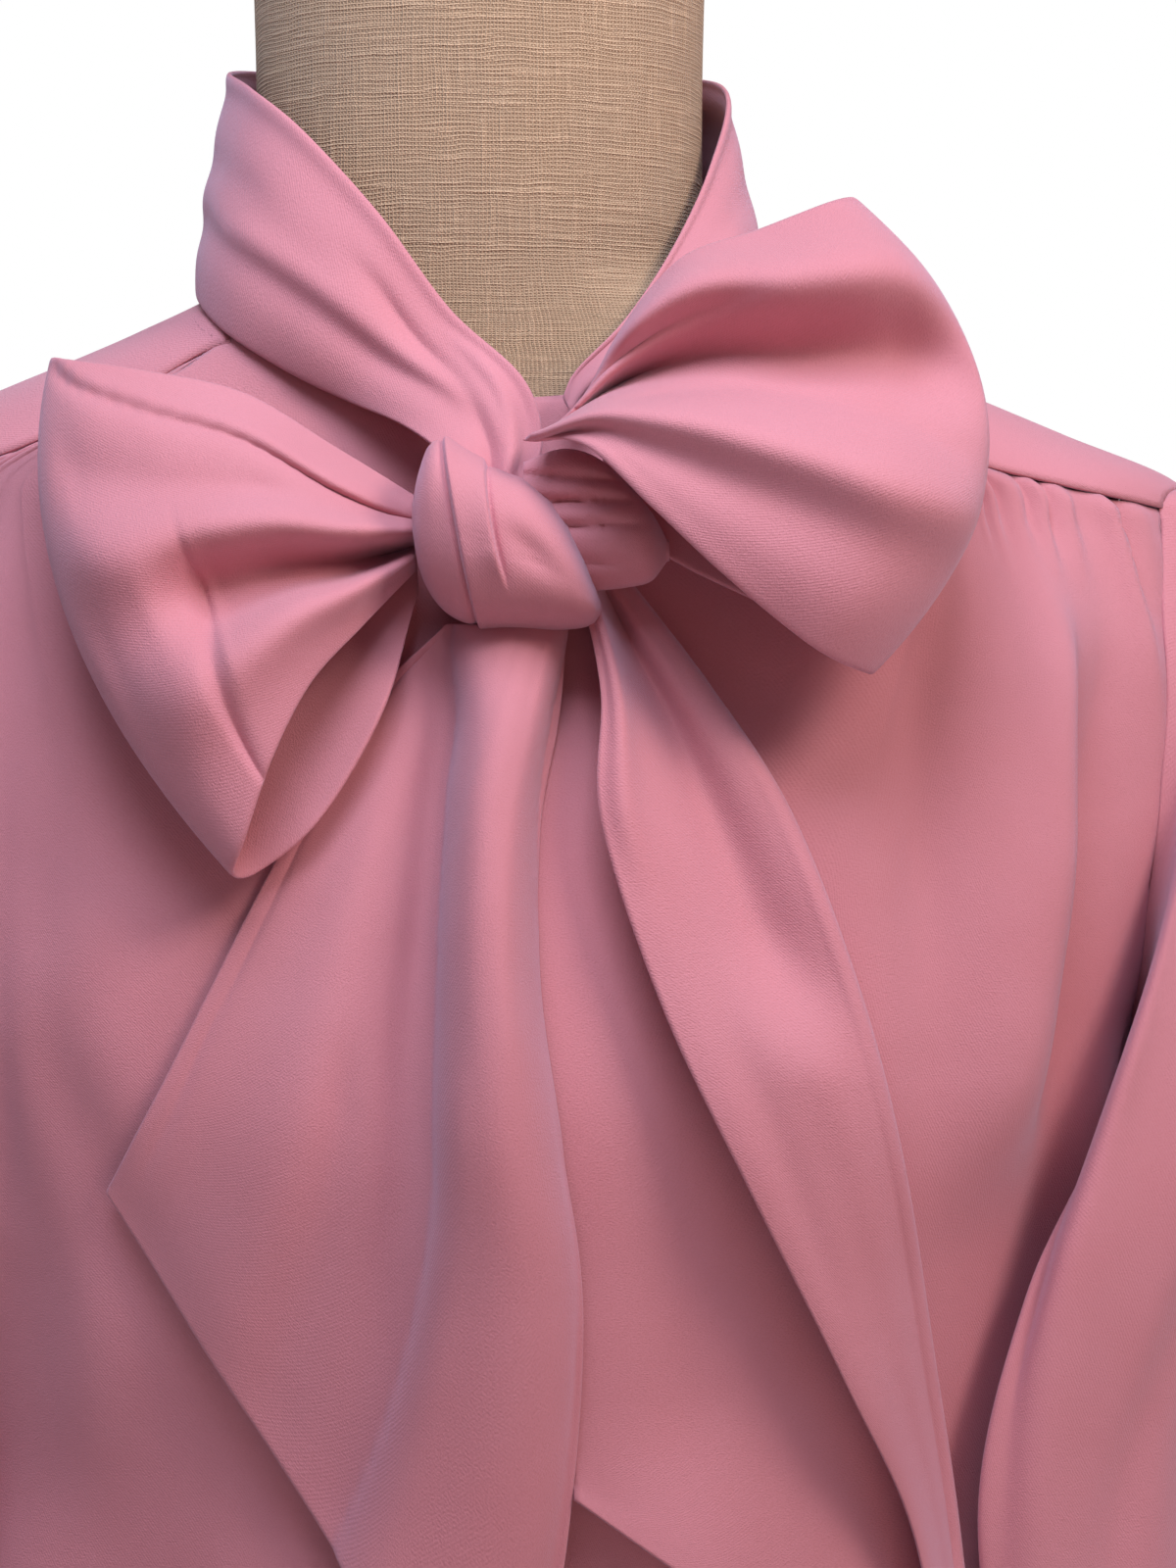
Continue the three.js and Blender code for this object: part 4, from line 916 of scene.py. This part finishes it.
def makeKnot():
    parts = [meshFromGrid("bow_knot_wrap", knotGrid(), True), meshFromGrid("tuck", tuckGrid(), True)]
    bpy.ops.object.select_all(action="DESELECT")
    for part in parts:
        turnOut(part)
        part.data.materials.append(crepe)
        part.select_set(True)
    bpy.context.view_layer.objects.active = parts[0]
    bpy.ops.object.join()
    parts[0].data.shade_smooth()
    claim(parts[0], "bow_knot")


makeKnot()
print("knot wrapped")


# Tails

leftTail = rows(
    "leftX leftZ rightX rightZ leftLift rightLift fold at wide",
    (-5, 736.5, 23, 735.5, 8, 11, 9, 0.54, 0.46), (-20, 722, 21, 713, 2, 6, 20, 0.69, 0.25),
    (-32, 704, 17, 690, 2, 4, 24, 0.775, 0.2), (-46, 678, 17, 655, 2, 4, 24, 0.82, 0.175),
    (-58, 654, 22, 620, 2.5, 5, 21, 0.82, 0.17), (-68, 634, 27, 580, 3, 7, 16, 0.81, 0.17),
    (-76, 619, 23, 525, 3, 8, 12, 0.79, 0.18), (-83, 606, 12, 462, 3, 8, 10, 0.76, 0.2))
rightTail = rows(
    "leftX leftZ foldX foldZ freeX freeZ lift roll",
    (20, 736, 35, 747, 26.6, 744, 6, 4), (16, 716, 52, 722, 31, 720, 3, 8),
    (12, 690, 70, 693, 31, 692, 3, 9), (10, 650, 86, 652, 45, 650, 3, 8),
    (14, 610, 97, 611, 64, 610, 3.4, 7), (20, 570, 106, 563, 87, 563, 4.5, 6),
    (24, 545, 113, 522, 104, 524, 6, 5.5), (25, 538, 119, 470, 112, 474, 9, 5))
leftTailFolds = [
    (0.4, 0.56, 1.0, 0.52, 0.09, 0.12, 1.8, 0.0), (0.12, 0.06, 0.85, 0.045, 0.012, 0.01, 0.9, 0.0, 1.3),
    (0.3, 0.3, 1.0, 0.26, 0.1, 0.13, -2.2, 0.02), (0.05, 0.86, 0.5, 0.9, 0.04, 0.05, -1.0, 0.0),
    (0.55, 0.7, 1.0, 0.62, 0.05, 0.07, -2.0, 0.0), (0.6, 0.4, 1.0, 0.38, 0.05, 0.08, 1.6, 0.0)]
rightTailFolds = [
    (0.0, 0.82, 0.42, 0.77, 0.06, 0.085, 11.5, 0.0), (0.02, 0.93, 0.3, 0.95, 0.02, 0.03, -3.0, 0.0),
    (0.04, 0.8, 0.5, 0.78, 0.05, 0.07, -2.0, 0.02), (0.1, 0.88, 0.62, 0.9, 0.04, 0.05, 1.4, 0.0),
    (0.3, 0.74, 1.0, 0.72, 0.05, 0.06, -1.2, 0.0), (0.1, 0.3, 0.9, 0.25, 0.08, 0.1, 1.2, 0.0)]
leftTailPiece = dict(rows=128, columns=94, topOut=0.12, fullness=0.6, endAt=1.25, endOver=0.3, recess=2.5,
                     recessAt=1.45, recessWide=0.42, thick=1.3, flat=(0.12, 0.25), area=0.022)
rightTailPiece = dict(rows=150, columns=110, backShare=0.5, turnShare=0.66, edgeRoll=0.25, edgeLift=12,
                      swell=1.2, thick=1.2, soft=0, flat=(0.17, 0.27), area=0.032)


def leftTailGrid():
    p = leftTailPiece
    down, across = spread(p)

    def read(column):
        return readSteps(leftTail, down, column)

    x = lerp(read("leftX"), read("rightX"), across)
    z = lerp(read("leftZ"), read("rightZ"), across)
    off = (across - read("at")) / read("wide")
    tube = np.clip(1 - off**2, 0, 1) ** p["fullness"]
    standing = read("fold") * (p["topOut"] * (1 - down) ** 2 + (1 - p["topOut"]) * tube)
    standing = standing * smooth((p["endAt"] - np.abs(off)) / p["endOver"])
    recess = p["recess"] * bell((off + p["recessAt"]) / p["recessWide"])
    standing = standing - recess * smooth(down / 0.12) * smooth((0.9 - down) / 0.5)
    lift = lerp(read("leftLift"), read("rightLift"), smooth(across * 1.6))
    grid = joinXyz(x, chestY(x, z) - lift - standing, z)
    return pressFolds(grid, leftTailFolds, backwards, 41)


def rightTailGrid():
    p = rightTailPiece
    down, across = spread(p)

    def read(column):
        return readSteps(rightTail, down, column)

    backShare, turnShare, roll = p["backShare"], p["turnShare"], read("roll")
    behind = across / backShare
    turn = math.pi * np.clip((across - backShare) / (turnShare - backShare), 0, 1)
    over = np.clip((across - turnShare) / (1 - turnShare), 0, 1)
    flat = across <= backShare
    x = np.where(flat, lerp(read("leftX"), read("foldX"), behind),
                 lerp(read("foldX") + np.sin(turn) * roll / 2, read("freeX"), over))
    z = np.where(flat, lerp(read("leftZ"), read("foldZ"), behind), lerp(read("foldZ"), read("freeZ"), over))
    turned = (1 - np.cos(turn)) * roll / 2
    free = lerp(roll, roll * p["edgeRoll"] + p["edgeLift"], smooth(over))
    free = free + p["swell"] * np.sin(math.pi * over)
    lift = np.where(flat, 0, np.where(across < turnShare, turned, free))
    grid = joinXyz(x, chestY(np.minimum(x, read("foldX")), z) - read("lift") - lift, z)
    return pressFolds(grid, rightTailFolds, backwards, 51)


sewnPiece("left_tail", leftTailGrid(), leftTailPiece, "tail_left")
sewnPiece("right_tail", rightTailGrid(), rightTailPiece, "tail_right")
print("tails hung")


# Stitches

stitchRows = dict(spacing=3.0, length=2.1, thick=0.32, uneven=(0.88, 1.06), seed=7, out=0.5, cuffIn=2.6,
                  points=400)


def makeStitchTree():
    tree = bpy.data.node_groups.new("stitches along a path", "GeometryNodeTree")
    for name, kind in (("path", "Geometry"), ("spacing", "Float"), ("stitch length", "Float"),
                       ("stitch thickness", "Float"), ("thread", "Material")):
        tree.interface.new_socket(name, in_out="INPUT", socket_type="NodeSocket" + kind)
    tree.interface.new_socket("stitches", in_out="OUTPUT", socket_type="NodeSocketGeometry")

    def node(kind, sockets=None, **settings):
        made = tree.nodes.new(kind)
        for key, value in settings.items():
            setattr(made, key, value)
        for key, value in (sockets or {}).items():
            if isinstance(value, bpy.types.NodeSocket):
                tree.links.new(value, made.inputs[key])
            else:
                made.inputs[key].default_value = value
        return made.outputs

    given = node("NodeGroupInput")
    curve = node("GeometryNodeMeshToCurve", {"Mesh": given["path"]})
    points = node("GeometryNodeCurveToPoints", {"Curve": curve["Curve"], "Length": given["spacing"]},
                  mode="LENGTH")
    ball = node("GeometryNodeMeshIcoSphere", {"Radius": 0.5, "Subdivisions": 2})
    size = node("ShaderNodeCombineXYZ", {"X": given["stitch thickness"], "Y": given["stitch thickness"],
                                         "Z": given["stitch length"]})
    stitch = node("GeometryNodeTransform", {"Geometry": ball["Mesh"], "Scale": size["Vector"]})
    low, high = stitchRows["uneven"]
    chance = node("FunctionNodeRandomValue", {2: low, 3: high, "Seed": stitchRows["seed"]}, data_type="FLOAT")
    placed = node("GeometryNodeInstanceOnPoints", {
        "Points": points["Points"], "Rotation": points["Rotation"], "Instance": stitch["Geometry"],
        "Scale": chance[1]})
    real = node("GeometryNodeRealizeInstances", {"Geometry": placed["Instances"]})
    thread = node("GeometryNodeSetMaterial", {"Geometry": real["Geometry"], "Material": given["thread"]})
    node("NodeGroupOutput", {"stitches": thread["Geometry"]})
    return tree


def sewAlong(name, paths, tree):  # one row of stitches along each closed path
    edges, places = [], []
    for path in paths:
        first, count = len(places), len(path)
        places += [tuple(p * mm) for p in path]
        edges += [(first + n, first + (n + 1) % count) for n in range(count)]
    mesh = bpy.data.meshes.new(name)
    mesh.from_pydata(places, edges, [])
    piece = bpy.data.objects.new(name, mesh)
    bpy.context.collection.objects.link(piece)
    sewing = piece.modifiers.new("sewing", "NODES")
    sewing.node_group = tree
    sockets = {item.name: item.identifier for item in tree.interface.items_tree if item.in_out == "INPUT"}
    for socket, size in (("spacing", "spacing"), ("stitch length", "length"), ("stitch thickness", "thick")):
        sewing[sockets[socket]] = stitchRows[size] * mm
    sewing[sockets["thread"]] = threadPink
    settle(piece)
    claim(piece)
    print(f"{name}: {len(piece.data.polygons)} faces")


def hemPath():
    turn = np.linspace(-math.pi, math.pi, stitchRows["points"], endpoint=False)
    z = np.full_like(turn, blouse["hemZ"] + blouse["hemUp"])
    return blousePoint(turn, z, stitchRows["out"] + blouse["hemHigh"])


def cuffPaths(side):  # near the top and the bottom edge of a cuff
    grid = cuffGrid(side)
    count = stitchRows["cuffIn"] / (cuffPiece["top"] - cuffPiece["low"]) * (len(grid) - 1)
    middle = np.array([side * cuffPiece["x"], cuffPiece["y"], 0])
    paths = []
    for row in (round(count), len(grid) - 1 - round(count)):
        away = unit((grid[row] - middle) * (1, 1, 0))
        paths.append(grid[row] + away * (cuffPiece["thick"] / 2 + 0.1))
    return paths


stitchTree = makeStitchTree()
threadPink = makeCrepe("pink thread", crepeFinish, 0.85)
sewAlong("hem_stitches", [hemPath()], stitchTree)
sewAlong("cuff_stitches", cuffPaths(1) + cuffPaths(-1), stitchTree)
print("hem and cuffs stitched")


# Floor, light and camera

view = dict(target=(0.028, 0.0, 0.694), distance=0.9, elevation=3.0, lens=79.0, sensor=36, nearest=0.01)
floorPaper = dict(dark=(0.82, 0.82, 0.82), pale=(0.86, 0.86, 0.86), size=40, down=0.0005)
lampTarget = Vector((0, 0, 0.7))
room = [  # how high in the room, and how bright it is there
    (0.0, (0.08, 0.035, 0.022)), (0.42, (0.09, 0.055, 0.045)), (0.6, (0.09, 0.085, 0.1)),
    (1.0, (0.19, 0.21, 0.29))]
wall = dict(low=0.62, high=0.8, brightness=1.0)   # the white wall behind the form
lamps = [  # name, place, size, watts, colour: soft and large, the warm one low
    ("sky above", (-0.02, -0.44, 1.45), 0.5, 7.8, (0.76, 0.83, 1.0)),
    ("window", (0.8, -0.66, 1.46), 0.4, 8.4, (1.0, 0.86, 0.79)),
    ("side window", (-0.85, -0.55, 1.3), 0.5, 0.6, (0.88, 0.88, 1.0)),
    ("warm bounce", (0.45, -1.2, 0.35), 0.8, 1.5, (1.0, 0.42, 0.25))]


def makeFloor():
    r = Recipe("pale floor")
    speck = r.noise(r.node("TexCoord", {}, {}, "Object"), 30.0, 3.0)
    paper = r.finish({"Base Color": r.mix(speck, floorPaper["dark"], floorPaper["pale"]), "Roughness": 0.9})
    bpy.ops.mesh.primitive_plane_add(size=floorPaper["size"], location=(0, 0, -floorPaper["down"]))
    floor = bpy.context.object
    floor.name = "floor"
    floor.data.materials.append(paper)


def makeRoom():
    r = Recipe("pale room", room=True)
    direction = r.node("SeparateXYZ", {}, {0: r.node("TexCoord", {}, {}, "Generated")}, 2)
    height = direction * 0.5 + 0.5
    behind = r.between(Wire(r, direction.socket.node.outputs[1]), wall["low"], wall["high"])
    white = [wall["brightness"]] * 3
    colour = r.mix(behind, r.node("ValToRGB", {"stops": room}, {0: height}), white)
    shade = r.node("Background", {}, {"Color": colour, "Strength": 1.0})
    r.node("OutputWorld", {}, {"Surface": shade}, None)
    bpy.context.scene.world = r.material
    bpy.context.scene.view_settings.view_transform = "Standard"


def makeLamps():
    for name, place, size, watts, colour in lamps:
        lamp = bpy.data.lights.new(name, "AREA")
        lamp.size, lamp.energy, lamp.color = size, watts, colour
        made = bpy.data.objects.new(name, lamp)
        bpy.context.collection.objects.link(made)
        made.location = place
        made.rotation_euler = (lampTarget - Vector(place)).to_track_quat("-Z", "Y").to_euler()


def placeCamera():
    data = bpy.data.cameras.new("camera")
    camera = bpy.data.objects.new("camera", data)
    bpy.context.collection.objects.link(camera)
    data.lens, data.sensor_width, data.clip_start = view["lens"], view["sensor"], view["nearest"]
    tilt = math.radians(view["elevation"])
    away = Vector((0, -math.cos(tilt), math.sin(tilt)))
    camera.location = Vector(view["target"]) + away * view["distance"]
    camera.rotation_euler = (-away).to_track_quat("-Z", "Y").to_euler()
    bpy.context.scene.camera = camera


makeFloor()
makeRoom()
makeLamps()
placeCamera()
print("lit and framed")
